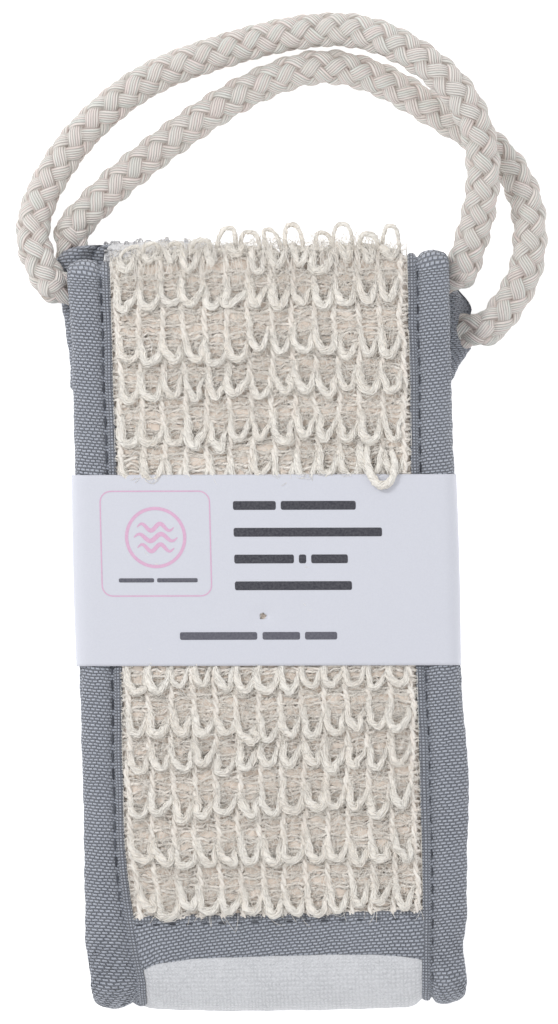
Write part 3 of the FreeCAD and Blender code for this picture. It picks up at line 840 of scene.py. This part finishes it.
def yarns(lines, up, radii, strands, thickness, lay, loose, sides=4):
    """Loosely twisted bundles of strands along lines: what tubes gives for them all.

    radii is each bundle's radius along its line, loose how unevenly its strands stand off it."""
    lines, radii = np.asarray(lines, float), np.asarray(radii, float)
    count, length = lines.shape[:2]
    side, over = frames(lines, up)
    along = distances(lines)
    spread = (np.arange(strands) * 2 * math.pi / strands)[None, :, None]
    phase = RNG.uniform(0, 2 * math.pi, (count, 1, 1)) + spread + (along * 2 * math.pi / lay)[:, None]
    pace = RNG.uniform(0.7, 1.9, (count, strands, 1))
    ripple = np.sin(along[:, None] * pace + RNG.uniform(0, 6.3, (count, strands, 1)))
    out = (radii[:, None] - thickness * 0.6) * (1 + loose * ripple)
    phase = phase + 0.5 * ripple[:, ::-1]
    ring = np.cos(phase)[..., None] * side[:, None] + np.sin(phase)[..., None] * over[:, None]
    points = lines[:, None] + out[..., None] * ring
    return tubes(points.reshape(-1, length, 3), thickness, ring.reshape(-1, length, 3), sides)


def make_loops():
    """Big soft U-shaped loops hanging in rows from wale to wale, of fibrous loosely spun yarn."""
    control = []
    for row, base in enumerate(sisal_rows()):
        drift = 1.0 * waves(WALES, 100 + row, 60)
        for number, wale in enumerate(WALES[:-1]):
            depth = RNG.uniform(4.8, 7.8)
            bottom = base + drift[number] + RNG.normal(0, 0.65)
            lean = RNG.normal(0, 0.55)
            narrow = RNG.uniform(-0.4, 0.6)
            lift = RNG.uniform(0.4, 1.3)
            shape = [
                (depth + 1.6, 0.35, 1.7),
                (depth * 0.75, 0.25 + narrow, 2.5),
                (depth * 0.40, 0.45 + narrow + lean * 0.3, 2.8 + lift * 0.5),
                (depth * 0.12, 1.05 + narrow + lean, 2.8 + lift),
                (-0.15, WALE_GAP * 0.44 + lean, 2.8 + lift),
                (depth * 0.14, WALE_GAP * 0.68 - narrow + lean, 2.7 + lift * 0.9),
                (depth * 0.45, WALE_GAP * 0.82 - narrow, 2.5 + lift * 0.4),
                (depth * 0.85, WALE_GAP * 0.93, 1.8),
            ]
            jitter = RNG.normal(0, 0.2, (len(shape), 3))
            moved = zip(shape, jitter)
            control.append([(bottom + a + j[0], wale + b + j[1], c + j[2] * 0.6) for (a, b, c), j in moved])
    control = np.array(control)
    pressed = under_band(control[..., 0])
    flat = control[..., 2] * (1 - pressed) + 1.9 * pressed
    control[..., 2] = np.where(pressed > 0.01, flat, control[..., 2])
    points, normals = sisal_lines(control, 18)
    t = np.linspace(0, 1, 18)
    profile = np.interp(t, [0, 0.15, 0.5, 0.8, 1], [0.6, 0.95, 1.02, 0.8, 0.5])
    size = RNG.uniform(0.78, 1.22, (len(control), 1))
    radii = profile * size * (1 - 0.4 * under_band(control[..., 0].mean(1))[:, None])
    shade = RNG.uniform(0.35, 0.9, len(control))
    spun("sisal_loops", tubes(points, radii * 0.82, normals, 8), SISAL, shade)
    half = len(control) // 2
    for part, chosen in (("lower", slice(None, half)), ("upper", slice(half, None))):
        bundle = points[chosen], normals[chosen], radii[chosen]
        made = yarns(*bundle, 10, 0.24, 14.0, 0.22)
        own = RNG.uniform(0, 0.5, half * 10 + 10)[: len(bundle[0]) * 10]
        spun(f"sisal_loop_strands_{part}", made, SISAL, np.repeat(shade[chosen], 10) * 0.6 + own)
        made = yarns(bundle[0], bundle[1], bundle[2] * 1.25, 8, 0.07, 11.0, 0.35, 3)
        spun(f"sisal_loop_fuzz_{part}", made, FIBRE, np.full(len(bundle[0]) * 8, 0.8))
    loop_over_band()


def loop_over_band():
    """The one loop that has been caught outside the paper band, hanging over its upper edge."""
    s = ON_LAYER_1 + BAND_HIGH[1]
    over = BAND_HIGH[2] - LAYER_1_Z + 1.0
    shape = [(9, -3.4, 1.9), (4.5, -3.9, 3.6), (0.5, -3.3, over), (-3.0, -1.6, over + 0.2)]
    shape += [(-3.4, 0.6, over + 0.2), (-1.6, 2.7, over), (2.0, 3.3, 4.0), (6, 2.5, 2.0)]
    control = np.array([[(s + a, 30.9 + b, c) for a, b, c in shape]])
    points, normals = sisal_lines(control, 30)
    radii = np.interp(np.linspace(0, 1, 30), [0, 0.2, 0.5, 0.8, 1], [0.6, 0.95, 1.15, 0.95, 0.6])
    spun("sisal_loop_over_band", tubes(points, radii * 0.85, normals, 10), SISAL, [0.9])
    made = yarns(points, normals, radii[None], 12, 0.24, 9.0, 0.14)
    spun("sisal_loop_over_band_strands", made, SISAL, RNG.uniform(0.4, 1.0, 12))


def make_wales():
    """Two twined yarns up each wale, which the loops hang from."""
    s = np.arange(TAPE_S[1] - 1.0, CREST + 26, 0.75)
    lines, normals = [], []
    for number, wale in enumerate(WALES):
        sway = 0.6 * waves(s, 200 + number, 44)
        for way in (-1, 1):
            phase = s * math.pi / 2.7 + number
            x = wale + sway + way * 0.42 * np.cos(phase)
            h = 2.15 + way * 0.35 * np.sin(phase) - 0.5 * under_band(s)
            points, normal = on_strap(s, drawn_in(s, x), h)
            lines.append(points)
            normals.append(normal)
    lumps = 0.47 * (1 + 0.18 * np.sin(s * 2.3) * np.sin(s * 0.9 + 1))
    made = tubes(np.array(lines), lumps, np.array(normals), 7)
    spun("sisal_wales", made, INLAY, RNG.uniform(0.2, 0.8, len(lines)))


def make_inlay():
    """Pairs of thin yarns laid across between the wales."""
    x = np.linspace(-WRAP + 0.2, WRAP - 0.2, 58)
    lines, normals = [], []
    for number, course in enumerate(np.arange(TAPE_S[1] + 0.5, CREST + 24, 3.15)):
        for way in (-1, 1):
            apart = 0.55 + 0.3 * waves(x, 600 + number, 11)
            s = course + way * apart + 0.5 * waves(x, 300 + number, 13)
            s = s + 0.2 * waves(x, 400 + 2 * number + way, 5)
            h = 1.8 + 0.3 * np.cos((x - WALES[0]) * 2 * math.pi / WALE_GAP) + 0.15 * waves(x, 500 + number, 6)
            points, normal = on_strap(s, drawn_in(s, x), h)
            lines.append(points)
            normals.append(normal)
    lines, normals = np.array(lines), np.array(normals)
    spun("sisal_inlay", tubes(lines, 0.40, normals, 6), INLAY, RNG.uniform(0, 1, len(lines)))
    made = yarns(lines, normals, np.full(lines.shape[:2], 0.58), 4, 0.17, 8.0, 0.45, 3)
    spun("sisal_inlay_strands", made, INLAY, RNG.uniform(0, 1, len(lines) * 4))


def make_crest():
    """Loops that stand out round the top fold, where the knit opens: one clear row, and a few low ones."""
    control = []
    for turn, height, low in ((0.0, 6.8, 4), (0.9, 3.6, 0), (-0.5, 1.3, 0)):
        for number, wale in enumerate(np.arange(WALES[0] + 3.0, WALES[-1] + 1, WALE_GAP * 1.1)):
            x = wale + RNG.normal(0, 0.6)
            s = CREST + turn * 2.6 + RNG.normal(0, 0.4)
            tall = height * RNG.uniform(0.8, 1.15) * (0.55 if number < low else 1.0)
            width = RNG.uniform(1.6, 2.3)
            lean = RNG.normal(0, 0.5)
            shape = [(-width * 1.15, 1.6), (-width * 1.1 + lean * 0.4, 2.0 + tall * 0.5)]
            shape += [(-width * 0.6 + lean, 2.0 + tall * 0.92), (width * 0.6 + lean, 2.0 + tall * 0.92)]
            shape += [(width * 1.1 + lean * 0.4, 2.0 + tall * 0.5), (width * 1.15, 1.6)]
            sway = RNG.normal(0, 0.22)
            control.append([(s + sway * (c - 1.8) / 4, x + b, c) for b, c in shape])
    points, normals = sisal_lines(np.array(control), 20)
    along = np.zeros(points.shape)
    along[..., 2] = 1.0
    profile = np.interp(np.linspace(0, 1, 20), [0, 0.5, 1], [0.85, 1, 0.85])
    radii = RNG.uniform(0.55, 0.72, (len(control), 1)) * profile
    made = tubes(points, radii * 0.8, along, 8)
    spun("sisal_crest_loops", made, SISAL, RNG.uniform(0.3, 0.9, len(control)))
    made = yarns(points, along, radii, 7, 0.17, 6.0, 0.15)
    spun("sisal_crest_strands", made, SISAL, RNG.uniform(0.3, 1, len(control) * 7))


def make_fibres():
    """Fine sisal fibres: a haze of them lying through the knit, and longer strays standing off it."""
    for name, count, longest, rises, low in (
        ("sisal_haze_lower", 6400, 5.5, 0.8, 1.6),
        ("sisal_haze_upper", 6400, 5.5, 0.8, 1.6),
        ("sisal_fibres", 4200, 8.0, 1.9, 2.6),
    ):
        middle = (TAPE_S[1] + CREST) / 2
        ends = {"sisal_haze_lower": (TAPE_S[1] + 2, middle), "sisal_haze_upper": (middle, CREST + 6)}
        s = RNG.uniform(*ends.get(name, (TAPE_S[1] + 2, CREST + 8)), count)
        if name == "sisal_fibres":
            s[:900] = CREST + RNG.normal(0, 2.2, 900)
        x = RNG.uniform(-WRAP + 1, WRAP - 1, count)
        keep = under_band(s) < 0.05
        s, x = s[keep], x[keep]
        count = len(s)
        heading = RNG.uniform(0, 2 * math.pi, count)
        bend = RNG.normal(0, 1.1, count)
        reach = RNG.uniform(2.0, longest, count)
        rise = RNG.uniform(0.1, 1, count) * np.where(np.abs(s - CREST) < 4, rises * 2.4, rises)
        t = np.linspace(0, 1, 6)
        angle = heading[:, None] + bend[:, None] * t
        ds = np.cumsum(np.cos(angle) * reach[:, None] / 5, 1)
        dx = np.cumsum(np.sin(angle) * reach[:, None] / 5, 1)
        arch = np.sin(t * math.pi * RNG.uniform(0.5, 1, count)[:, None])
        h = low + RNG.uniform(0, 1.3, count)[:, None] + rise[:, None] * arch
        h = np.where(under_band(s[:, None] + ds) > 0.02, np.minimum(h, 2.2), h)
        inside = np.clip(x[:, None] + dx, 0.3 - WRAP, WRAP - 0.3)
        points, normals = on_strap(s[:, None] + ds, drawn_in(s[:, None] + ds, inside), h)
        made = tubes(points, 0.055 if name == "sisal_fibres" else 0.07, normals, 3)
        spun(name, made, FIBRE, RNG.uniform(0, 1, count))


# The hems at the strap's ends ------------------------------------------------------------------------------


def make_hems():
    """White cloth turned round each end, with towelling loops along the edges that show."""
    across = np.linspace(-WRAP - 0.4, WRAP + 0.4, 60)
    rounded = [(x, 2.45 - 0.9 * max(0.0, abs(x) - WRAP + 0.8)) for x in across]
    section = rounded + [(x, -2.45) for x, _ in rounded[::-1]]
    outer = strip("outer_end_hem_cloth", section, (-FLARE - 0.4, -FLARE + 8.5), 0.6, TERRY, hem_profile)
    ride(outer, replaces=["outer_end_hem"])
    inner = strip("inner_end_hem_cloth", section, (STARTS[7] - 8.8, STARTS[7]), 0.6, TERRY, inner_hem_profile)
    ride(inner, replaces=["inner_end_hem"])
    count = 620
    x = RNG.uniform(-WRAP - 1.5, WRAP + 1.5, count)
    s = -FLARE + RNG.uniform(-0.3, 4.5, count)
    side = RNG.choice([-1.0, 1.0], count)
    t = np.linspace(0, math.pi, 7)
    width = RNG.uniform(0.35, 0.6, count)[:, None]
    tall = RNG.uniform(0.5, 1.1, count)[:, None]
    h0 = side * np.where(s < -FLARE + 1.2, RNG.uniform(0.2, 2.0, count), 2.3)
    outward = np.where(s < -FLARE + 1.2, 1.0, 0.0)[:, None]
    line_s = s[:, None] - outward * np.sin(t) * tall
    line_x = x[:, None] + np.cos(t) * width
    line_h = h0[:, None] + side[:, None] * (1 - outward) * np.sin(t) * tall * 0.45
    points, normals = on_strap(line_s, line_x, line_h)
    up = np.where(outward[..., None] > 0, normals, np.array([0.0, 1.0, 0.0]))
    spun("outer_end_towelling_loops", tubes(points, 0.27, up, 5), TERRY, np.zeros(count))


def hem_profile(s, x, h):
    edge = np.clip((s + FLARE) / 1.6, 0, 1)
    return np.sign(h) * (-1.6 * (1 - np.sqrt(edge)) + 0.18 * waves(x + 3 * s, 61, 7))


def inner_hem_profile(s, x, h):
    edge = np.clip((STARTS[7] - s) / 1.6, 0, 1)
    return np.sign(h) * (-1.6 * (1 - np.sqrt(edge)) - 0.1 + 0.12 * waves(x + 3 * s, 71, 7))


# The rope handles ------------------------------------------------------------------------------------------

ROPE_DIAMETER = 9.6
LAY = 26.8  # along the rope, one turn of a strand
BRAID_RADIUS, BRAID_SWING = 3.2, 0.55
STRAND_HALF_WIDTH, STRAND_HALF_THICK, STRAND_SIDES = 2.05, 1.02, 18
END_OVERLAP = 3.2  # how far a rope's rounded end reaches past the point that it turns about
FRONT_ROUTE = [
    (-54.2, 90.8, 11.2),
    (-58.8, 98.8, 10.4),
    (-59.4, 108.2, 7.2),
    (-54.2, 120.2, 4.9),
    (-44.0, 133.2, 4.9),
    (-28.3, 145.2, 4.9),
    (-8.5, 151.8, 5.0),
    (12.6, 156.7, 5.4),
    (30.2, 156.3, 9.0),
    (46.6, 146.7, 15.4),
    (57.0, 134.6, 17.6),
    (60.1, 118.6, 17.6),
    (57.4, 103.8, 14.2),
    (53.0, 91.6, 11.2),
]
REAR_ROUTE = [
    (-49.2, 105.5, 4.9),
    (-41.4, 114.0, 4.9),
    (-27.9, 124.7, 4.9),
    (-12.2, 135.6, 4.9),
    (3.5, 143.9, 4.9),
    (18.4, 147.8, 4.9),
    (33.0, 143.8, 4.9),
    (47.4, 134.4, 4.9),
    (62.6, 125.0, 4.9),
    (70.6, 113.0, 4.9),
    (72.0, 99.6, 4.9),
    (68.8, 86.6, 4.9),
    (60.6, 77.2, 4.9),
]


def smooth_route(route):
    """The route's NURBS line, in millimetres."""
    curve = bpy.data.curves.new("route", "CURVE")
    curve.dimensions = "3D"
    spline = curve.splines.new("NURBS")
    spline.points.add(len(route) - 1)
    for point, place in zip(spline.points, route):
        point.co = (*(value * MM for value in place), 1)
    spline.order_u = 3
    spline.use_endpoint_u = True
    spline.resolution_u = 24
    guide = bpy.data.objects.new("route", curve)
    bpy.context.scene.collection.objects.link(guide)
    mesh = bpy.data.meshes.new_from_object(guide)
    line = np.array([v.co[:] for v in mesh.vertices]) / MM
    bpy.data.objects.remove(guide)
    bpy.data.meshes.remove(mesh)
    bpy.data.curves.remove(curve)
    return line


def evenly(line, step):
    """The line at even steps."""
    along = distances(line)
    places = np.linspace(0, along[-1], max(4, int(along[-1] / step)))
    return np.stack([np.interp(places, along, line[:, k]) for k in range(3)], -1), places


def carried_frames(line):
    """A side direction carried along the line without twisting."""
    tangent = np.gradient(line, axis=0)
    tangent /= np.linalg.norm(tangent, axis=1, keepdims=True)
    side = np.cross(tangent[0], (0, 0, 1.0))
    sides = []
    for direction in tangent:
        side = side - direction * (side @ direction)
        side /= np.linalg.norm(side)
        sides.append(side.copy())
    return tangent, np.array(sides)


def braid(line, seed, squash=None):
    """Eight flat strands, four each way, plaited over and under round a core: points, quads, uv and painted
    shades.

    The ends are rounded off. squash gives the rope's height share along the line, as for np.interp."""
    before = line[0] + (line[0] - line[1]) / np.linalg.norm(line[0] - line[1]) * END_OVERLAP
    after = line[-1] + (line[-1] - line[-2]) / np.linalg.norm(line[-1] - line[-2]) * END_OVERLAP
    line, along = evenly(np.vstack([before, line, after]), 0.5)
    tangent, side = carried_frames(line)
    over = np.cross(side, tangent)
    from_end = np.minimum(along, along[-1] - along)
    rounding = np.sqrt(1 - np.clip(1 - from_end / (ROPE_DIAMETER / 2), 0, 1) ** 2)
    angle = np.linspace(0, 2 * math.pi, STRAND_SIDES, endpoint=False)
    a = np.sign(np.cos(angle)) * np.abs(np.cos(angle)) ** 0.8 * STRAND_HALF_WIDTH
    b = np.sign(np.sin(angle)) * np.abs(np.sin(angle)) ** 0.75 * STRAND_HALF_THICK
    b = b - a**2 / ROPE_DIAMETER * 0.9
    one = grid_quads(len(line), STRAND_SIDES, closed=True)
    made, quads, uv, shades = [], [], [], []
    draw = np.random.default_rng(seed)
    cross = np.cos(8 * math.pi * along / LAY)
    for number in range(8):
        way = 1 if number < 4 else -1
        theta = way * 2 * math.pi * along / LAY + (number % 4) * math.pi / 2
        radius = BRAID_RADIUS + way * BRAID_SWING * cross + 0.05 * waves(along, seed + number, 11)
        radial = np.cos(theta)[:, None] * side + np.sin(theta)[:, None] * over
        centre = line + radial * radius[:, None]
        ahead = np.gradient(centre, axis=0)
        ahead /= np.linalg.norm(ahead, axis=1, keepdims=True)
        sideways = np.cross(ahead, radial)
        sideways /= np.linalg.norm(sideways, axis=1, keepdims=True)
        outward = np.cross(sideways, ahead)
        on_top = (1 + way * cross) / 2
        wide = (0.86 + 0.14 * on_top)[:, None, None]
        points = centre[:, None] + sideways[:, None] * a[None, :, None] * wide
        points = points + outward[:, None] * b[None, :, None]
        points = line[:, None] + (points - line[:, None]) * rounding[:, None, None]
        made.append(points.reshape(-1, 3))
        quads.append(one + number * len(line) * STRAND_SIDES)
        v = np.broadcast_to(a * MM + number * 0.01, points.shape[:2])
        u = np.broadcast_to(along[:, None] * MM, v.shape)
        uv.append(np.stack([u, v], -1).reshape(-1, 2))
        # Painted shade: a strand darkens towards its edges, on its underside and where it passes under another
        # strand.
        edge = np.clip(1.15 - (a / STRAND_HALF_WIDTH) ** 4, 0, 1) * (np.sin(angle) > -0.2)
        shade = 0.25 + 0.65 * on_top[:, None] * edge + draw.normal(0, 0.05)
        shades.append(np.clip(shade, 0, 1).ravel())
    core, core_quads, core_uv, _ = tubes(line[None], 2.3 * rounding[None], side[None], 12)
    made.append(core)
    quads.append(core_quads + 8 * len(line) * STRAND_SIDES)
    uv.append(core_uv)
    # Painted shade: the core is given the darkest shade all over.
    shades.append(np.zeros(len(core)))
    made = np.concatenate(made)
    if squash is not None:
        share = np.interp(along / along[-1], *squash)
        places = np.arange(len(line))
        rows = np.concatenate([np.tile(np.repeat(places, STRAND_SIDES), 8), np.repeat(places, 12)])
        made[:, 2] = line[rows, 2] + (made[:, 2] - line[rows, 2]) * share[rows]
    return made, np.concatenate(quads), np.concatenate(uv), np.concatenate(shades)


def rope(name, route, body, node, seed):
    line = smooth_route(route)
    made, quads, uv, shades = braid(line, seed)
    thing = ride(add_mesh(name, made, quads, uv, ROPE, shades), body, [node])


def sewn_end(name, route_end, inside, node, seed):
    """The rope's last stretch: pressed flat where it is sewn in, and round where it comes out."""
    line = np.array([inside, route_end], float)
    out = (line[1] - line[0]) / np.linalg.norm(line[1] - line[0])
    line = np.array([line[0], line[0] * 0.5 + line[1] * 0.5, line[1] + out * 0.5])
    made, quads, uv, shades = braid(line, seed, ([0, 0.5, 0.8, 1], [0.22, 0.26, 0.9, 1.0]))
    ride(add_mesh(name, made, quads, uv, ROPE, shades), "strap", [node])


def make_ropes():
    rope("front_rope_handle", FRONT_ROUTE, "front_handle", "front_handle_rope", 41)
    rope("rear_rope_handle", REAR_ROUTE, "rear_handle", "rear_handle_rope", 57)
    sewn_end("front_left_sewn_rope", FRONT_ROUTE[0], (-38, 88.4, LAYER_3_Z), "front_rope_left_end", 43)
    sewn_end("front_right_sewn_rope", FRONT_ROUTE[-1], (38, 88.4, LAYER_3_Z), "front_rope_right_end", 47)
    sewn_end("rear_left_sewn_rope", REAR_ROUTE[0], (-48.0, 88, LAYER_4_Z), "rear_rope_left_end", 53)
    sewn_end("rear_right_sewn_rope", REAR_ROUTE[-1], (43, 75.4, LAYER_4_Z), "rear_rope_right_end", 59)


# The paper band --------------------------------------------------------------------------------------------

BAND_HALF = 50.35
BAND_ROOM = 0.4  # from the paper's middle to the furthest that a binding reaches inside it
PAPER_THICK = 0.25
INK_LIFT = 0.05
BAND_SKEW = 0.022  # how far the band has turned on the strap


def band_outline(count_flat=60, count_corner=10):
    """The band's path round the strap in (x, z), anticlockwise from the overlap under the strap."""
    left, right = -BAND_HALF, BAND_HALF
    low, high = BAND_LOW[2] + PAPER_THICK / 2 + 0.02, BAND_HIGH[2] - PAPER_THICK / 2 - 0.05
    radius = 4.2
    points = [(x, low) for x in np.linspace(-6, right - radius, count_flat // 2)]
    corners = [(right - radius, low + radius, -90), (right - radius, high - radius, 0)]
    corners += [(left + radius, high - radius, 90), (left + radius, low + radius, 180)]
    for number, (x, z, first) in enumerate(corners):
        turn = np.radians(np.linspace(first, first + 90, count_corner))
        points += [(x + radius * math.cos(a), z + radius * math.sin(a)) for a in turn]
        if number == 1:
            points += [(v, high) for v in np.linspace(right - radius - 1, left + radius + 1, count_flat)]
    points += [(x, low) for x in np.linspace(left + radius + 1, 6, count_flat // 2)]
    return np.array(points)


def make_band():
    outline = band_outline()
    lift = np.zeros(len(outline))
    under = len(outline) // 2
    start = np.arange(len(outline)) < under
    bottom = np.abs(outline[:, 1] - outline[:, 1].min()) < 0.01
    lift[start & bottom] = 0.4
    outline = outline + np.stack([np.zeros(len(outline)), lift], -1)
    y = np.linspace(BAND_LOW[1], BAND_HIGH[1], 64)
    x = np.broadcast_to(outline[:, 0], (len(y), len(outline))).copy()
    z = np.broadcast_to(outline[:, 1], (len(y), len(outline))).copy()
    top = z > outline[:, 1].max() - 0.2
    swell = 0.10 * waves(x, 81, 38) * np.cos((y[:, None] - 15) / 32) + 0.05 * waves(x + y[:, None], 83, 17)
    z = z + np.where(top, swell - 0.12, 0)
    from_hole = np.hypot(x - PUNCH[0], y[:, None] - BAND_SKEW * x - PUNCH[1])
    z = z - np.where(top, 0.45 * np.exp(-((from_hole / 2.2) ** 2)), 0)
    sides = np.abs(x) > BAND_HALF - 0.6
    x = x + np.where(sides, np.sign(x) * 0.35 * np.cos((y[:, None] - 15) / 20) - np.sign(x) * 0.2, 0)
    points = np.stack([x, np.broadcast_to(y[:, None], x.shape) - BAND_SKEW * x, z], -1)
    along = distances(outline)
    uv = np.stack([np.broadcast_to(along * MM, x.shape), np.broadcast_to(y[:, None] * MM, x.shape)], -1)
    band = add_mesh("paper_belly_band", points, grid_quads(len(y), len(outline)), uv, PAPER)
    thick = band.modifiers.new("paper", "SOLIDIFY")
    thick.thickness = PAPER_THICK * MM
    thick.offset = 0.0
    cutter = hole_cutter()
    cut = band.modifiers.new("hole", "BOOLEAN")
    cut.object = cutter
    cut.solver = "EXACT"
    apply_modifiers(band)
    bpy.data.objects.remove(cutter)
    ride(band, "band", ["paper_band"])
    return band


PUNCH = (-1.2, 3.0)


def hole_cutter():
    """A ragged round cutter for the punched hole."""
    angle = np.linspace(0, 2 * math.pi, 18, endpoint=False)
    radius = 0.85 + 0.12 * np.sin(angle * 5 + 1) + 0.08 * np.cos(angle * 3)
    ring = np.stack([PUNCH[0] + radius * np.cos(angle), PUNCH[1] + radius * np.sin(angle)], -1)
    low = np.column_stack([ring, np.full(18, BAND_HIGH[2] - 3)])
    high = np.column_stack([ring, np.full(18, BAND_HIGH[2] + 2)])
    thing = add_mesh("hole_cutter", np.concatenate([low, high]), grid_quads(2, 18, closed=True))
    mesh = thing.data
    shape = bmesh.new()
    shape.from_mesh(mesh)
    bmesh.ops.holes_fill(shape, edges=shape.edges, sides=0)
    bmesh.ops.recalc_face_normals(shape, faces=shape.faces)
    shape.to_mesh(mesh)
    shape.free()
    return thing


def apply_modifiers(thing):
    graph = bpy.context.evaluated_depsgraph_get()
    mesh = bpy.data.meshes.new_from_object(thing.evaluated_get(graph))
    thing.modifiers.clear()
    old = thing.data
    thing.data = mesh
    bpy.data.meshes.remove(old)
    mesh.polygons.foreach_set("use_smooth", np.ones(len(mesh.polygons), bool))


def printed(name, ribbons, material, tree):
    """Flat ribbons of ink on the band's top: each a line of (x, y) points and its half width at each."""
    points, quads = [], []
    for line, halves in ribbons:
        line = np.asarray(line, float)
        ahead = np.gradient(line, axis=0)
        ahead /= np.linalg.norm(ahead, axis=1, keepdims=True) + 1e-12
        aside = np.stack([-ahead[:, 1], ahead[:, 0]], -1) * np.broadcast_to(halves, len(line))[:, None]
        rows = np.stack([line + aside * share for share in (-1, -0.33, 0.33, 1)], 1)
        quads.append(grid_quads(len(line), 4) + sum(len(p) for p in points))
        points.append(rows.reshape(-1, 2))
    flat = np.concatenate(points)
    lifted = []
    for x, y in flat - np.stack([0 * flat[:, 0], BAND_SKEW * flat[:, 0]], -1):
        hit = tree.ray_cast(Vector((x * MM, y * MM, 0.06)), Vector((0, 0, -1)))[0]
        lifted.append((x, y, (hit.z / MM if hit else BAND_HIGH[2]) + INK_LIFT))
    return ride(add_mesh(name, lifted, np.concatenate(quads), None, material), "band")


def bar(x, y, length, height=2.3):
    """A rounded bar that stands for a word, from its left end."""
    middle = np.linspace(0.8, length - 0.8, max(3, int(length)))
    places = np.concatenate([np.linspace(0, 0.5, 5), middle, np.linspace(length - 0.5, length, 5)])
    near = np.clip(np.minimum(places, length - places) / 0.5, 0, 1)
    halves = height / 2 * (0.55 + 0.45 * np.sqrt(1 - (1 - near) ** 2))
    return [(x + p, y) for p in places], halves


def rounded_frame(x, y, width, height, radius, half):
    """A thin line round a rounded rectangle, from its lower left corner."""
    centres = [(x + width - radius, y + radius, -90), (x + width - radius, y + height - radius, 0)]
    centres += [(x + radius, y + height - radius, 90), (x + radius, y + radius, 180)]
    corners = []
    for cx, cy, first in centres:
        for a in np.radians(np.linspace(first, first + 90, 9)):
            corners.append((cx + radius * math.cos(a), cy + radius * math.sin(a)))
    corners = np.array(corners + corners[:1])
    along = distances(corners)
    places = np.linspace(0, along[-1], 140)
    return np.stack([np.interp(places, along, corners[:, k]) for k in (0, 1)], -1), half


def ring(x, y, radius, half):
    """A thin circle."""
    turn = np.linspace(0, 2 * math.pi, 60)
    return np.stack([x + radius * np.cos(turn), y + radius * np.sin(turn)], -1), half


def ripple(x, y, length, half):
    """A wavy line of two waves, thinning to its ends."""
    t = np.linspace(0, 1, 50)
    line = np.stack([x + (t - 0.5) * length, y + 0.9 * np.sin(t * 4 * math.pi)], -1)
    return line, half * np.sqrt(np.sin(t * math.pi) + 0.02)


def make_print(band):
    """A plain frame round a circle with ripples in it, and bars where the wording would be."""
    tree = BVHTree.FromObject(band, bpy.context.evaluated_depsgraph_get())
    printed("print_frame", [rounded_frame(-43.0, 8.3, 28.6, 27.4, 2.8, 0.16)], INK_PINK, tree)
    x, y = -28.7, 23.6
    badge = [ring(x, y, 7.6, 0.42), ripple(x, y + 2.7, 9.6, 0.55), ripple(x, y, 11.4, 0.6)]
    badge.append(ripple(x, y - 2.7, 9.6, 0.55))
    printed("print_badge", badge, INK_PINK, tree)
    printed("print_small_bars", [bar(-38.6, 12.4, 9.2, 1.1), bar(-28.6, 12.4, 10.6, 1.1)], INK_GREY, tree)
    words = [(31.9, (11.2, 19.6)), (24.9, (38.8,)), (17.9, (15.6, 1.9, 9.6)), (10.9, (30.6,))]
    bars = []
    for y, lengths in words:
        x = -8.3
        for length in lengths:
            bars.append(bar(x, y, length))
            x += length + 1.3
    printed("print_bars", bars, INK_DARK, tree)
    lower = [bar(-23.0, -2.2, 20.2, 2.0), bar(-1.4, -2.2, 9.8, 2.0), bar(9.7, -2.2, 8.4, 2.0)]
    printed("print_lower_bars", lower, INK_GREY, tree)


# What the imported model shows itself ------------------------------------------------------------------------


def finish_cad_nodes():
    """The small CAD nodes that keep their own shape get materials of their own: thread for the bar tacks and
    dried glue for the band's glue.
    """
    for node, material in (
        ("front_rope_bar_tacks", TACK),
        ("rear_rope_bar_tacks", TACK),
        ("band_glue", GLUE),
    ):
        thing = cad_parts[node]
        if not thing.material_slots:
            thing.data.materials.append(None)
        for slot in thing.material_slots:
            slot.link = "OBJECT"
            slot.material = material


# Stage, lights and camera ----------------------------------------------------------------------------------

FRAME_HEIGHT = 267.8  # what the picture shows of the strap's top, from edge to edge
CAMERA_DISTANCE = 3000.0
CAMERA_X, CAMERA_Y, CAMERA_TURN = 3.7, 30.1, -1.42


def make_stage():
    size = 1500.0
    points = [(-size, -size, -0.05), (size, -size, -0.05), (size, size, -0.05), (-size, size, -0.05)]
    floor = add_mesh("floor", points, [[0, 1, 2, 3]], material=floor_material())


def make_lights():
    world = bpy.data.worlds.new("studio")
    bpy.context.scene.world = world
    world.use_nodes = True
    background = world.node_tree.nodes["Background"]
    background.inputs["Color"].default_value = (1, 1, 1, 1)
    background.inputs["Strength"].default_value = 0.66
    for name, place, size, power, target in (
        ("key", (-420, 420, 760), 300, 3.0, (0, 20, 0)),
        ("fill", (500, -250, 900), 800, 1.0, (0, 20, 0)),
    ):
        lamp = bpy.data.lights.new(name, "AREA")
        lamp.shape = "DISK"
        lamp.size = size * MM
        lamp.energy = power
        thing = bpy.data.objects.new(name, lamp)
        bpy.context.scene.collection.objects.link(thing)
        thing.location = [value * MM for value in place]
        away = np.array(place, float) - np.array(target, float)
        tilt = math.atan2(math.hypot(away[0], away[1]), away[2])
        thing.rotation_euler = (tilt, 0, math.atan2(away[0], -away[1]))


def make_camera():
    lens = bpy.data.cameras.new("camera")
    camera = bpy.data.objects.new("camera", lens)
    bpy.context.scene.collection.objects.link(camera)
    lens.sensor_fit = "VERTICAL"
    lens.sensor_height = 24
    lens.lens = 24 * CAMERA_DISTANCE / FRAME_HEIGHT
    lens.clip_end = 10
    camera.location = (CAMERA_X * MM, CAMERA_Y * MM, (TOP_Z + CAMERA_DISTANCE) * MM)
    camera.rotation_euler = (0, 0, math.radians(CAMERA_TURN))
    bpy.context.scene.camera = camera
    bpy.context.scene.view_settings.view_transform = "Standard"


make_camera()
make_ropes()
make_stage()
make_lights()
make_plies()
make_tapes()
make_stitches()
make_loops()
make_wales()
make_inlay()
make_crest()
make_fibres()
make_hems()
make_print(make_band())
finish_cad_nodes()
